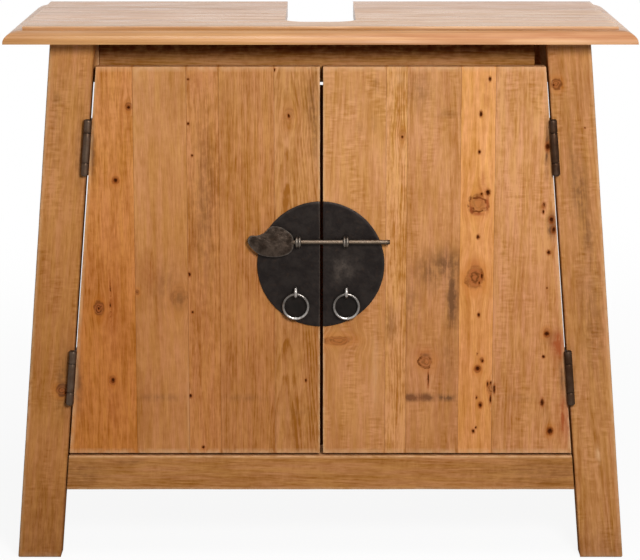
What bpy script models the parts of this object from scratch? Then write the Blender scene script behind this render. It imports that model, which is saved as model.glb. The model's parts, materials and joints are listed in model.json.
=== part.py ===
"""Washstand cabinet in reclaimed pine: splayed legs, a moulded top with a waste
cut-out, two plank doors on leaning butt hinges, and a round iron latch plate.

Metres, X to the right, Y into the depth, Z up. The origin is on the floor,
under the middle of the top.
"""

import math

import bmesh
import bpy
from mathutils import Matrix, Vector

# Clearances and facets
SEAT_GAP = 0.0003
WELD = 0.00001
FLAT_ANGLE = math.radians(0.1)
TURNED_SEGMENTS = 20

# Top board
TOP_WIDTH = 0.700
TOP_DEPTH = 0.320
TOP_HEIGHT = 0.620
TOP_THICKNESS = 0.018
MOULDING_WIDTH = 0.020
MOULDING_STEP = 0.0035
MOULDING_FILLET = 0.001
MOULDING_FALL = 0.0003
MOULDING_LIP = 0.0015
OVOLO_SEGMENTS = 7
FRONT_OVERHANG = 0.040
WASTE_WIDTH = 0.080
WASTE_CORNER = 0.020
WASTE_CORNER_STEPS = 6

# Splayed legs
FOOT_OUTSET = 0.002
LEG_TOP_INSET = 0.048
LEG_WIDTH = 0.050
LEG_THICKNESS = 0.025
REAR_LEG_WIDTH = 0.025
REAR_LEG_DEPTH = 0.050
REAR_INSET = 0.005
LEG_ROUNDING = 0.002

# Sides, rails and bottom
PANEL_THICKNESS = 0.015
PANEL_INSET = 0.005
SIDE_RAIL_THICKNESS = 0.022
TOP_RAIL_HEIGHT = 0.049
TOP_RAIL_THICKNESS = 0.016
TOP_RAIL_LEFT_GAP = 0.0107
TOP_RAIL_RIGHT_GAP = 0.0187
TOP_RAIL_SETBACK = 0.002
BOTTOM_RAIL_FLOOR = 0.082
BOTTOM_RAIL_HEIGHT = 0.0405
BOTTOM_RAIL_JOINT = 0.0012
BOTTOM_BOARD_THICKNESS = 0.018
BOTTOM_BOARD_DROP = 0.001
REAR_BOTTOM_RAIL_HEIGHT = 0.084
REAR_TOP_RAIL_HEIGHT = 0.074
REAR_RAIL_THICKNESS = 0.022
ARRIS = 0.0012

# Doors
DOOR_HEAD_GAP = 0.0292
DOOR_THICKNESS = 0.018
DOOR_SILL_GAP = 0.0033
MEETING_GAP = 0.003
BATTEN_WIDTH = 0.037
BATTEN_LAP = 0.016
BATTEN_THICKNESS = 0.0115
BATTEN_LOW_GAP = 0.0045
BATTEN_RAIL_GAP = 0.004
LEDGE_HEIGHT = 0.045
LEDGE_THICKNESS = 0.014
LEDGE_MARGIN = 0.028

# Butt hinges
HINGE_LENGTH = 0.0625
HINGE_INSET = 0.0905
LEAF_THICKNESS = 0.0010
LEAF_CLEARANCE = 0.0004
LEAF_MARGIN = 0.001
PIN_OFFSET = 0.0025
BARREL_RADIUS = 0.0045
PIN_RADIUS = 0.0022
PIN_HEAD_RADIUS = 0.0034
PIN_HEAD_HEIGHT = 0.0008
MIDDLE_KNUCKLE = 0.0335
KNUCKLE_GAP = 0.0005

# Latch plate, bolt and eyes
PLATE_DIAMETER = 0.1445
PLATE_THICKNESS = 0.0018
PLATE_RISE = 0.2224
PLATE_SEGMENTS = 40
BOLT_RADIUS = 0.0027
BOLT_RISE = 0.0269
BOLT_REACH = 0.0785
BOLT_CHAMFER = 0.0015
BOLT_TIP_RADIUS = 0.0020
BOLT_CLEARANCE = 0.0005
BOLT_EYE_STRAND = 0.0018
BOLT_EYE_LEFT = 0.0252
BOLT_EYE_RIGHT = 0.0288
THUMB_LENGTH = 0.0518
THUMB_HEIGHT = 0.0357
THUMB_THICKNESS = 0.0036
THUMB_ROUNDING = 0.0009
THUMB_GAP = 0.0018
THUMB_CURVE_STEPS = 3

# Ring pulls and their eyes
RING_DIAMETER = 0.0313
RING_WIRE = 0.0016
RING_SLACK = 0.0016
RING_EYE_STRAND = 0.0013
RING_EYE_DROP = 0.0323
RING_LEFT = 0.0280
RING_RIGHT = 0.0296
SHANK_RADIUS = 0.0022
CLENCH_LENGTH = 0.020
CLENCH_THICKNESS = 0.0016
TURN_NIP = 0.00025
EYE_SEGMENTS = 18
STRAND_SEGMENTS = 8

# Levels and planes that follow from the sizes above
UNDERSIDE = TOP_HEIGHT - TOP_THICKNESS
CARCASS_TOP = UNDERSIDE - SEAT_GAP
LEG_FRONT = -TOP_DEPTH / 2 + FRONT_OVERHANG
LEG_BACK = LEG_FRONT + LEG_THICKNESS
REAR_LEG_BACK = TOP_DEPTH / 2 - REAR_INSET
REAR_LEG_FRONT = REAR_LEG_BACK - REAR_LEG_DEPTH
SPLAY = (FOOT_OUTSET + LEG_TOP_INSET) / UNDERSIDE
LEAN = math.atan(SPLAY)
BOTTOM_RAIL_TOP = BOTTOM_RAIL_FLOOR + BOTTOM_RAIL_HEIGHT
TOP_RAIL_FLOOR = UNDERSIDE - TOP_RAIL_HEIGHT
DOOR_BOTTOM = BOTTOM_RAIL_TOP + DOOR_SILL_GAP
DOOR_TOP = UNDERSIDE - DOOR_HEAD_GAP
DOOR_BACK = LEG_FRONT + DOOR_THICKNESS
TOP_RAIL_FRONT = DOOR_BACK + TOP_RAIL_SETBACK
TOP_RAIL_BACK = TOP_RAIL_FRONT + TOP_RAIL_THICKNESS
DOOR_GAP = 2 * LEAF_THICKNESS + LEAF_CLEARANCE + 2 * SEAT_GAP
HINGE_AXIS_Y = LEG_FRONT - BARREL_RADIUS - SEAT_GAP
PLATE_CENTRE = DOOR_BOTTOM + PLATE_RISE
PLATE_FRONT = LEG_FRONT - SEAT_GAP - PLATE_THICKNESS
BOLT_HEIGHT = PLATE_CENTRE + BOLT_RISE
BOLT_EYE_INNER = BOLT_RADIUS + BOLT_CLEARANCE
BOLT_AXIS_Y = PLATE_FRONT - SEAT_GAP - BOLT_EYE_INNER - 2 * BOLT_EYE_STRAND
RING_EYE_HEIGHT = PLATE_CENTRE - RING_EYE_DROP
RING_EYE_INNER = RING_WIRE + RING_SLACK
RING_AXIS_Y = PLATE_FRONT - SEAT_GAP - RING_EYE_INNER - 2 * RING_EYE_STRAND
RING_AXIS_HEIGHT = RING_EYE_HEIGHT - RING_SLACK + SEAT_GAP


def leg_outer(z):
    """Distance of the legs' outer edge from the middle of the cabinet, at a height."""
    return TOP_WIDTH / 2 + FOOT_OUTSET - SPLAY * z


def leg_inner(z):
    return leg_outer(z) - LEG_WIDTH


def door_outer(z):
    return leg_inner(z) - DOOR_GAP


def hinge_axis(z):
    """The pins stand off the middle of the gap beside the door, towards the leg."""
    return leg_inner(z) - DOOR_GAP / 2 + PIN_OFFSET


# Scene set-up
for leftover in list(bpy.data.objects):
    bpy.data.objects.remove(leftover)

parts = bpy.data.collections.new("washstand")
cutters = bpy.data.collections.new("washstand_cutters")
bpy.context.scene.collection.children.link(parts)
bpy.context.scene.collection.children.link(cutters)


def finish(name, color, roughness, metallic=0.0):
    """A Principled material."""
    material = bpy.data.materials.new(name)
    material.use_nodes = True
    shader = material.node_tree.nodes["Principled BSDF"]
    shader.inputs["Base Color"].default_value = (*color, 1.0)
    shader.inputs["Roughness"].default_value = roughness
    shader.inputs["Metallic"].default_value = metallic
    return material


TOP_PINE = finish("waxed_top_pine", (0.58, 0.36, 0.20), 0.45)
LEG_PINE = finish("leg_pine", (0.42, 0.21, 0.08), 0.55)
DOOR_PINE = finish("door_pine", (0.50, 0.26, 0.10), 0.50)
HIDDEN_PINE = finish("inner_pine", (0.45, 0.28, 0.14), 0.65)
HINGE_STEEL = finish("browned_hinge_steel", (0.09, 0.075, 0.065), 0.45, 0.9)
PLATE_IRON = finish("blackened_plate_iron", (0.030, 0.026, 0.025), 0.55, 0.8)
BOLT_IRON = finish("browned_bolt_iron", (0.16, 0.13, 0.10), 0.40, 0.9)
RING_STEEL = finish("ring_steel", (0.45, 0.43, 0.40), 0.25, 1.0)


def place(name, mesh, material, pivot=None):
    """Links a mesh as a part, on the empty that stands on its joint's axis if it moves."""
    part = bpy.data.objects.new(name, mesh)
    parts.objects.link(part)
    if not mesh.materials:
        mesh.materials.append(material)
    if pivot is not None:
        part.parent = pivot
        part.matrix_parent_inverse = pivot.matrix_world.inverted()
    return part


def pivot_empty(name, location, lean=0.0):
    """An empty on a joint's axis, its Z leaning towards +X by the given angle."""
    empty = bpy.data.objects.new(name, None)
    parts.objects.link(empty)
    empty.location = location
    empty.rotation_euler = (0, lean, 0)
    bpy.context.view_layer.update()
    return empty


def tidy_mesh(mesh, transform=Matrix.Identity(4)):
    """Welds loose caps, merges coplanar faces and points the faces outwards."""
    bm = bmesh.new()
    bm.from_mesh(mesh)
    bmesh.ops.transform(bm, matrix=transform, verts=bm.verts)
    bmesh.ops.remove_doubles(bm, verts=bm.verts, dist=WELD)
    bmesh.ops.dissolve_limit(bm, angle_limit=FLAT_ANGLE, verts=bm.verts, edges=bm.edges)
    bmesh.ops.recalc_face_normals(bm, faces=bm.faces)
    bm.to_mesh(mesh)
    bm.free()
    return mesh


def evaluated_mesh(source):
    """The mesh of an object with its modifiers or bevel applied. The object is removed."""
    depsgraph = bpy.context.evaluated_depsgraph_get()
    mesh = bpy.data.meshes.new_from_object(source.evaluated_get(depsgraph))
    mesh.transform(source.matrix_world)
    bpy.data.objects.remove(source)
    return mesh


def sheet_mesh(name, outline, thickness, transform=Matrix.Identity(4)):
    """A closed outline in XY, given its thickness along Z, centred on z = 0."""
    curve = bpy.data.curves.new(name, "CURVE")
    curve.dimensions = "2D"
    curve.fill_mode = "BOTH"
    curve.extrude = thickness / 2
    spline = curve.splines.new("POLY")
    spline.points.add(len(outline) - 1)
    for point, (x, y) in zip(spline.points, outline):
        point.co = (x, y, 0, 1)
    spline.use_cyclic_u = True
    holder = bpy.data.objects.new(name, curve)
    cutters.objects.link(holder)
    return tidy_mesh(evaluated_mesh(holder), transform)


def upright(front, back):
    """Stands an XY outline up in XZ, its thickness running from front to back along Y."""
    return Matrix.Translation((0, (front + back) / 2, 0)) @ Matrix.Rotation(math.pi / 2, 4, "X")


def board(name, outline, front, back, material, rounding=ARRIS, segments=1, pivot=None):
    """A board with an outline in XZ and eased edges."""
    mesh = sheet_mesh(name, outline, back - front, upright(front, back))
    part = place(name, mesh, material, pivot)
    ease = part.modifiers.new("eased_edges", "BEVEL")
    ease.width = rounding
    ease.segments = segments
    ease.limit_method = "ANGLE"
    return part


def splayed(side, low, high, outer_inset, inner_inset):
    """Outline in XZ of a piece that leans with the legs, inset from their outer edge."""
    return [
        (side * (leg_outer(low) - outer_inset), low),
        (side * (leg_outer(high) - outer_inset), high),
        (side * (leg_outer(high) - inner_inset), high),
        (side * (leg_outer(low) - inner_inset), low),
    ]


def between_sides(low, high, inset):
    """Outline in XZ of a piece that runs from side to side, its ends leaning with the legs."""
    return [
        (-leg_outer(low) + inset, low),
        (leg_outer(low) - inset, low),
        (leg_outer(high) - inset, high),
        (-leg_outer(high) + inset, high),
    ]


def cylinder_mesh(name, radius, low, high, segments):
    """A closed cylinder along Z."""
    bm = bmesh.new()
    bmesh.ops.create_cone(
        bm, cap_ends=True, segments=segments, radius1=radius, radius2=radius, depth=high - low
    )
    bmesh.ops.translate(bm, vec=(0, 0, (low + high) / 2), verts=bm.verts)
    mesh = bpy.data.meshes.new(name)
    bm.to_mesh(mesh)
    bm.free()
    return mesh


def box_mesh(name, low, high):
    """A box between two corners."""
    bm = bmesh.new()
    bmesh.ops.create_cube(bm, size=1)
    low, high = Vector(low), Vector(high)
    size = [abs(b - a) for a, b in zip(low, high)]
    bmesh.ops.scale(bm, vec=size, verts=bm.verts)
    bmesh.ops.translate(bm, vec=(low + high) / 2, verts=bm.verts)
    mesh = bpy.data.meshes.new(name)
    bm.to_mesh(mesh)
    bm.free()
    return mesh


def turned_mesh(name, profile):
    """A profile of radii and heights, from the top down, turned round Z."""
    mesh = bpy.data.meshes.new(name)
    bm = bmesh.new()
    verts = [bm.verts.new((radius, 0, height)) for radius, height in profile]
    for upper, lower in zip(verts, verts[1:]):
        bm.edges.new((upper, lower))
    bm.to_mesh(mesh)
    bm.free()
    turned = bpy.data.objects.new(name, mesh)
    cutters.objects.link(turned)
    screw = turned.modifiers.new("turned", "SCREW")
    screw.steps = TURNED_SEGMENTS
    screw.render_steps = TURNED_SEGMENTS
    screw.use_merge_vertices = True
    screw.merge_threshold = WELD
    return tidy_mesh(evaluated_mesh(turned))


def torus_mesh(name, major, minor, major_segments, minor_segments):
    """A ring of round wire, lying in XY."""
    bpy.ops.mesh.primitive_torus_add(
        major_radius=major,
        minor_radius=minor,
        major_segments=major_segments,
        minor_segments=minor_segments,
    )
    torus = bpy.context.object
    mesh = torus.data
    mesh.name = name
    bpy.data.objects.remove(torus)
    return mesh


def cutter(name, mesh):
    """A mesh that only shapes other pieces."""
    tool = bpy.data.objects.new(name, mesh)
    cutters.objects.link(tool)
    tool.hide_render = True
    tool.display_type = "WIRE"
    return tool


def shape(part, tool, operation):
    """Adds a Boolean with a cutter to a part."""
    modifier = part.modifiers.new(tool.name, "BOOLEAN")
    modifier.operation = operation
    modifier.object = tool


def joined_mesh(name, added, removed=()):
    """One mesh from a union of meshes, less other meshes."""
    body = bpy.data.objects.new(name, added[0])
    cutters.objects.link(body)
    tools = []
    for operation, meshes in (("UNION", added[1:]), ("DIFFERENCE", removed)):
        for mesh in meshes:
            tools.append(cutter(mesh.name, mesh))
            shape(body, tools[-1], operation)
    mesh = evaluated_mesh(body)
    for tool in tools:
        bpy.data.objects.remove(tool)
    return tidy_mesh(mesh)


# Top board: a stack of insets up the edge profile, on the front and both sides
def moulding_profile():
    """Inset from the lip and height above the underside, from the bottom up."""
    ovolo_width = MOULDING_WIDTH - MOULDING_FILLET
    ovolo_height = TOP_THICKNESS - MOULDING_STEP - MOULDING_FALL - MOULDING_LIP
    points = [(0, 0)]
    for step in range(OVOLO_SEGMENTS + 1):
        angle = math.pi / 2 * step / OVOLO_SEGMENTS
        inset = ovolo_width * (1 - math.cos(angle))
        points.append((inset, MOULDING_LIP + ovolo_height * math.sin(angle)))
    points.append((MOULDING_WIDTH, TOP_THICKNESS - MOULDING_STEP))
    points.append((MOULDING_WIDTH, TOP_THICKNESS))
    return points


def moulded_top_mesh():
    bm = bmesh.new()
    bmesh.ops.create_grid(bm, x_segments=1, y_segments=1, size=1)
    bm.faces.ensure_lookup_table()
    face = bm.faces[0]
    for index, (inset, rise) in enumerate(moulding_profile()):
        if index:
            below = face
            grown = bmesh.ops.extrude_face_region(bm, geom=[below])["geom"]
            face = next(item for item in grown if isinstance(item, bmesh.types.BMFace))
        if index > 1:
            bmesh.ops.delete(bm, geom=[below], context="FACES_ONLY")
        for vert in face.verts:
            vert.co.x = math.copysign(TOP_WIDTH / 2 - inset, vert.co.x)
            vert.co.y = TOP_DEPTH / 2 if vert.co.y > 0 else -TOP_DEPTH / 2 + inset
            vert.co.z = UNDERSIDE + rise
    bmesh.ops.recalc_face_normals(bm, faces=bm.faces)
    mesh = bpy.data.meshes.new("top_board")
    bm.to_mesh(mesh)
    bm.free()
    return mesh


def waste_outline():
    """The cut-out for the waste pipe in plan, with round front corners, open to the back."""
    half = WASTE_WIDTH / 2
    front = TOP_RAIL_BACK
    beyond = TOP_DEPTH / 2 + TOP_THICKNESS
    outline = [(half, beyond), (-half, beyond)]
    for side, start in ((-1, math.pi), (1, 1.5 * math.pi)):
        for step in range(WASTE_CORNER_STEPS + 1):
            angle = start + math.pi / 2 * step / WASTE_CORNER_STEPS
            x = side * (half - WASTE_CORNER) + WASTE_CORNER * math.cos(angle)
            y = front + WASTE_CORNER + WASTE_CORNER * math.sin(angle)
            outline.append((x, y))
    return outline


top = place("top_board", moulded_top_mesh(), TOP_PINE)
waste_level = Matrix.Translation((0, 0, UNDERSIDE + TOP_THICKNESS / 2))
waste = sheet_mesh("waste_cutter", waste_outline(), 3 * TOP_THICKNESS, waste_level)
shape(top, cutter("waste_cutter", waste), "DIFFERENCE")

# Legs, side panels and side rails: one set on each side
SIDES = (("left", -1), ("right", 1))
PANEL_INNER = PANEL_INSET + PANEL_THICKNESS
RAIL_OUTER = PANEL_INNER + SEAT_GAP
RAIL_INNER = RAIL_OUTER + SIDE_RAIL_THICKNESS
BETWEEN_LEGS = (LEG_BACK + SEAT_GAP, REAR_LEG_FRONT - SEAT_GAP)
BOTTOM_BOARD_TOP = BOTTOM_RAIL_TOP - BOTTOM_BOARD_DROP
BOTTOM_BOARD_FLOOR = BOTTOM_BOARD_TOP - BOTTOM_BOARD_THICKNESS

for side_name, side in SIDES:
    board(
        f"front_{side_name}_leg",
        splayed(side, 0, CARCASS_TOP, 0, LEG_WIDTH),
        LEG_FRONT,
        LEG_BACK,
        LEG_PINE,
        LEG_ROUNDING,
        2,
    )
    board(
        f"rear_{side_name}_leg",
        splayed(side, 0, CARCASS_TOP, 0, REAR_LEG_WIDTH),
        REAR_LEG_FRONT,
        REAR_LEG_BACK,
        LEG_PINE,
        LEG_ROUNDING,
        2,
    )
    board(
        f"{side_name}_side_panel",
        splayed(side, BOTTOM_RAIL_FLOOR, CARCASS_TOP, PANEL_INSET, PANEL_INNER),
        *BETWEEN_LEGS,
        LEG_PINE,
    )
    board(
        f"{side_name}_upper_side_rail",
        splayed(side, TOP_RAIL_FLOOR, CARCASS_TOP, RAIL_OUTER, RAIL_INNER),
        *BETWEEN_LEGS,
        HIDDEN_PINE,
    )
    board(
        f"{side_name}_lower_side_rail",
        splayed(side, BOTTOM_RAIL_FLOOR, BOTTOM_BOARD_FLOOR - SEAT_GAP, RAIL_OUTER, RAIL_INNER),
        *BETWEEN_LEGS,
        HIDDEN_PINE,
    )

# Front rails, bottom board and rear rails
between_side_rails = leg_outer(CARCASS_TOP) - RAIL_INNER
top_rail_left = -between_side_rails + TOP_RAIL_LEFT_GAP
top_rail_right = between_side_rails - TOP_RAIL_RIGHT_GAP
board(
    "top_front_rail",
    [
        (top_rail_left, TOP_RAIL_FLOOR),
        (top_rail_right, TOP_RAIL_FLOOR),
        (top_rail_right, CARCASS_TOP),
        (top_rail_left, CARCASS_TOP),
    ],
    TOP_RAIL_FRONT,
    TOP_RAIL_BACK - SEAT_GAP,
    LEG_PINE,
)
board(
    "bottom_front_rail",
    between_sides(BOTTOM_RAIL_FLOOR, BOTTOM_RAIL_TOP, LEG_WIDTH + BOTTOM_RAIL_JOINT),
    LEG_FRONT,
    LEG_BACK,
    LEG_PINE,
    LEG_ROUNDING,
    2,
)
board(
    "bottom_board",
    between_sides(BOTTOM_BOARD_FLOOR, BOTTOM_BOARD_TOP, RAIL_OUTER),
    *BETWEEN_LEGS,
    HIDDEN_PINE,
)
REAR_RAILS = (
    ("bottom", BOTTOM_RAIL_FLOOR, BOTTOM_RAIL_FLOOR + REAR_BOTTOM_RAIL_HEIGHT),
    ("top", CARCASS_TOP - REAR_TOP_RAIL_HEIGHT, CARCASS_TOP),
)
for level, low, high in REAR_RAILS:
    board(
        f"rear_{level}_rail",
        between_sides(low, high, REAR_LEG_WIDTH + SEAT_GAP),
        REAR_LEG_FRONT,
        REAR_LEG_FRONT + REAR_RAIL_THICKNESS,
        HIDDEN_PINE,
    )

# Butt hinges: the leaves are folded flat in the gap beside the door, the barrel stands in front
HINGE_HEIGHTS = (("upper", DOOR_TOP - HINGE_INSET), ("lower", DOOR_BOTTOM + HINGE_INSET))
LEAF_DEPTH = DOOR_THICKNESS - LEAF_MARGIN
BARREL_STANDOFF = BARREL_RADIUS + SEAT_GAP
END_KNUCKLE = (HINGE_LENGTH - MIDDLE_KNUCKLE) / 2 - KNUCKLE_GAP


def hinge_leaf_mesh(name, gap_middle, side, knuckles):
    """A leaf on one side of the gap's middle, with knuckles round the pin, which is the Z axis."""
    near = gap_middle + side * LEAF_CLEARANCE / 2
    far = gap_middle + side * (LEAF_CLEARANCE / 2 + LEAF_THICKNESS)
    half = HINGE_LENGTH / 2
    bore = PIN_RADIUS + SEAT_GAP
    overlap = SEAT_GAP
    plate_front = BARREL_STANDOFF + overlap
    added = [box_mesh(name, (near, plate_front, -half), (far, BARREL_STANDOFF + LEAF_DEPTH, half))]
    for index, (low, high) in enumerate(knuckles):
        tab_high = plate_front + overlap
        added.append(box_mesh(f"{name}_tab_{index}", (near, 0, low), (far, tab_high, high)))
        barrel = cylinder_mesh(f"{name}_barrel_{index}", BARREL_RADIUS, low, high, TURNED_SEGMENTS)
        added.append(barrel)
    removed = [cylinder_mesh(f"{name}_bore", bore, -HINGE_LENGTH, HINGE_LENGTH, TURNED_SEGMENTS)]
    return joined_mesh(name, added, removed)


def hinge_pin_mesh():
    """A pin with a flat head at each end, turned from its profile."""
    shoulder = HINGE_LENGTH / 2 + SEAT_GAP
    end = shoulder + PIN_HEAD_HEIGHT
    profile = (
        (0, end),
        (PIN_HEAD_RADIUS, end),
        (PIN_HEAD_RADIUS, shoulder),
        (PIN_RADIUS, shoulder),
        (PIN_RADIUS, -shoulder),
        (PIN_HEAD_RADIUS, -shoulder),
        (PIN_HEAD_RADIUS, -end),
        (0, -end),
    )
    return turned_mesh("hinge_pin", profile)


half_hinge = HINGE_LENGTH / 2
middle_knuckle = [(-MIDDLE_KNUCKLE / 2, MIDDLE_KNUCKLE / 2)]
end_knuckles = [(-half_hinge, -half_hinge + END_KNUCKLE), (half_hinge - END_KNUCKLE, half_hinge)]
pin_mesh = hinge_pin_mesh()
door_pivots = {}

for side_name, side in SIDES:
    axis_height = HINGE_HEIGHTS[1][1]
    door_pivots[side] = pivot_empty(
        f"{side_name}_door_pivot",
        (side * hinge_axis(axis_height), HINGE_AXIS_Y, axis_height),
        -side * LEAN,
    )
    gap_middle = -side * PIN_OFFSET
    leg_leaf = hinge_leaf_mesh(f"{side_name}_leg_leaf", gap_middle, side, end_knuckles)
    door_leaf = hinge_leaf_mesh(f"{side_name}_door_leaf", gap_middle, -side, middle_knuckle)
    for level, height in HINGE_HEIGHTS:
        hinge_name = f"{level}_{side_name}_hinge"
        seat = Matrix.Translation((side * hinge_axis(height), HINGE_AXIS_Y, height))
        seat = seat @ Matrix.Rotation(-side * LEAN, 4, "Y")
        place(f"{hinge_name}_leg_leaf", leg_leaf, HINGE_STEEL).matrix_world = seat
        place(f"{hinge_name}_pin", pin_mesh, HINGE_STEEL).matrix_world = seat
        leaf = place(f"{hinge_name}_door_leaf", door_leaf, HINGE_STEEL, door_pivots[side])
        leaf.matrix_world = seat

# Plank doors with their ledges, and the batten that covers the gap from behind
EYE_PLACES = {
    -1: ((-BOLT_EYE_LEFT, BOLT_HEIGHT), (-RING_LEFT, RING_EYE_HEIGHT)),
    1: ((BOLT_EYE_RIGHT, BOLT_HEIGHT), (RING_RIGHT, RING_EYE_HEIGHT)),
}
SHANK_HOLE = SHANK_RADIUS + SEAT_GAP
SHANK_SEGMENTS = 12


def shank_cutter(name, x, height):
    """A hole along Y through a door and its plate."""
    mesh = cylinder_mesh(name, SHANK_HOLE, -TOP_DEPTH / 2, TOP_DEPTH / 2, SHANK_SEGMENTS)
    mesh.transform(Matrix.Translation((x, LEG_FRONT, height)) @ Matrix.Rotation(math.pi / 2, 4, "X"))
    return cutter(name, mesh)


def half_plate_outline(side):
    """Half of the round plate, cut off at the door's meeting edge."""
    radius = PLATE_DIAMETER / 2
    edge = MEETING_GAP / 2
    sweep = math.acos(edge / radius)
    outline = []
    for step in range(PLATE_SEGMENTS + 1):
        angle = -sweep + 2 * sweep * step / PLATE_SEGMENTS
        outline.append((side * radius * math.cos(angle), PLATE_CENTRE + radius * math.sin(angle)))
    return outline


for side_name, side in SIDES:
    pivot = door_pivots[side]
    meeting = side * MEETING_GAP / 2
    door = board(
        f"{side_name}_door_panel",
        [
            (meeting, DOOR_BOTTOM),
            (side * door_outer(DOOR_BOTTOM), DOOR_BOTTOM),
            (side * door_outer(DOOR_TOP), DOOR_TOP),
            (meeting, DOOR_TOP),
        ],
        LEG_FRONT,
        DOOR_BACK,
        DOOR_PINE,
        ARRIS,
        2,
        pivot,
    )
    plate = place(
        f"{side_name}_latch_plate",
        sheet_mesh(
            f"{side_name}_latch_plate",
            half_plate_outline(side),
            PLATE_THICKNESS,
            upright(PLATE_FRONT, PLATE_FRONT + PLATE_THICKNESS),
        ),
        PLATE_IRON,
        pivot,
    )
    for label, (x, height) in zip(("bolt", "ring"), EYE_PLACES[side]):
        hole = shank_cutter(f"{side_name}_{label}_shank_hole", x, height)
        shape(door, hole, "DIFFERENCE")
        shape(plate, hole, "DIFFERENCE")

    ledge_start = BATTEN_WIDTH + LEDGE_MARGIN
    for level, height in HINGE_HEIGHTS:
        low = height - LEDGE_HEIGHT / 2
        high = height + LEDGE_HEIGHT / 2
        board(
            f"{side_name}_door_{level}_ledge",
            [
                (side * ledge_start, low),
                (side * (door_outer(low) - LEDGE_MARGIN), low),
                (side * (door_outer(high) - LEDGE_MARGIN), high),
                (side * ledge_start, high),
            ],
            DOOR_BACK + SEAT_GAP,
            DOOR_BACK + SEAT_GAP + LEDGE_THICKNESS,
            HIDDEN_PINE,
            pivot=pivot,
        )

batten_low = DOOR_BOTTOM + BATTEN_LOW_GAP
batten_high = TOP_RAIL_FLOOR - BATTEN_RAIL_GAP
board(
    "meeting_batten",
    [
        (BATTEN_LAP - BATTEN_WIDTH, batten_low),
        (BATTEN_LAP, batten_low),
        (BATTEN_LAP, batten_high),
        (BATTEN_LAP - BATTEN_WIDTH, batten_high),
    ],
    DOOR_BACK + SEAT_GAP,
    DOOR_BACK + SEAT_GAP + BATTEN_THICKNESS,
    DOOR_PINE,
    pivot=door_pivots[-1],
)


# Eyes: two turns of wire side by side, a shank through the door and legs clenched behind it
def turn_mesh(name, loop, strand, shift):
    """One turn of wire round the X axis, shifted along it."""
    mesh = torus_mesh(name, loop, strand, EYE_SEGMENTS, STRAND_SEGMENTS)
    mesh.transform(Matrix.Translation((shift, 0, 0)) @ Matrix.Rotation(math.pi / 2, 4, "Y"))
    return mesh


def eye_mesh(name, inner, strand, axis_y):
    """An eye round the X axis. Its shank runs back from the loop through the door."""
    loop = inner + strand
    spread = strand - TURN_NIP
    clench_front = DOOR_BACK + SEAT_GAP - axis_y
    clench_back = clench_front + CLENCH_THICKNESS
    shank_end = clench_front + CLENCH_THICKNESS / 2
    shank_root = loop - strand / 4
    shank = cylinder_mesh(f"{name}_shank", SHANK_RADIUS, -shank_end, -shank_root, SHANK_SEGMENTS)
    shank.transform(Matrix.Rotation(math.pi / 2, 4, "X"))
    clench_low = (-SHANK_RADIUS, clench_front, -CLENCH_LENGTH / 2)
    clench_high = (SHANK_RADIUS, clench_back, CLENCH_LENGTH / 2)
    added = [
        shank,
        box_mesh(f"{name}_clench", clench_low, clench_high),
        turn_mesh(f"{name}_turn_0", loop, strand, -spread),
        turn_mesh(f"{name}_turn_1", loop, strand, spread),
    ]
    return joined_mesh(name, added)


bolt_eye = eye_mesh("bolt_eye", BOLT_EYE_INNER, BOLT_EYE_STRAND, BOLT_AXIS_Y)
ring_eye = eye_mesh("ring_eye", RING_EYE_INNER, RING_EYE_STRAND, RING_AXIS_Y)
for side_name, side in SIDES:
    (bolt_x, bolt_z), (ring_x, ring_z) = EYE_PLACES[side]
    eye = place(f"{side_name}_bolt_eye", bolt_eye, BOLT_IRON, door_pivots[side])
    eye.matrix_world = Matrix.Translation((bolt_x, BOLT_AXIS_Y, bolt_z))
    eye = place(f"{side_name}_ring_eye", ring_eye, RING_STEEL, door_pivots[side])
    eye.matrix_world = Matrix.Translation((ring_x, RING_AXIS_Y, ring_z))


# Latch bolt: a round rod forged out to a leaf-shaped thumb piece at its left end
THUMB_LEAF = (
    (0.015, 0.185),
    (0.15, 0.38),
    (0.27, 0.48),
    (0.42, 0.52),
    (0.52, 0.48),
    (0.64, 0.30),
    (0.80, 0.215),
    (0.95, 0.20),
    (1.00, 0.02),
    (0.92, -0.19),
    (0.74, -0.40),
    (0.45, -0.48),
    (0.16, -0.41),
    (0.01, -0.205),
)


def thumb_mesh(neck):
    """The thumb piece: a smooth leaf outline whose neck is on the rod's axis."""
    curve = bpy.data.curves.new("thumb_leaf", "CURVE")
    curve.dimensions = "2D"
    curve.fill_mode = "BOTH"
    curve.extrude = THUMB_THICKNESS / 2 - THUMB_ROUNDING
    curve.bevel_depth = THUMB_ROUNDING
    curve.bevel_resolution = 0
    curve.offset = -THUMB_ROUNDING
    spline = curve.splines.new("BEZIER")
    spline.bezier_points.add(len(THUMB_LEAF) - 1)
    for point, (along, across) in zip(spline.bezier_points, THUMB_LEAF):
        point.co = (neck - along * THUMB_LENGTH, across * THUMB_HEIGHT, 0)
        point.handle_left_type = "AUTO"
        point.handle_right_type = "AUTO"
    spline.resolution_u = THUMB_CURVE_STEPS
    spline.use_cyclic_u = True
    holder = bpy.data.objects.new("thumb_leaf", curve)
    cutters.objects.link(holder)
    return tidy_mesh(evaluated_mesh(holder), Matrix.Rotation(math.pi / 2, 4, "X"))


def bolt_rod_mesh(start):
    """The rod along X, turned from its profile, its right end cut square and chamfered."""
    profile = (
        (0, BOLT_REACH),
        (BOLT_TIP_RADIUS, BOLT_REACH),
        (BOLT_RADIUS, BOLT_REACH - BOLT_CHAMFER),
        (BOLT_RADIUS, start),
        (0, start),
    )
    mesh = turned_mesh("bolt_rod", profile)
    mesh.transform(Matrix.Rotation(math.pi / 2, 4, "Y"))
    return mesh


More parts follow.
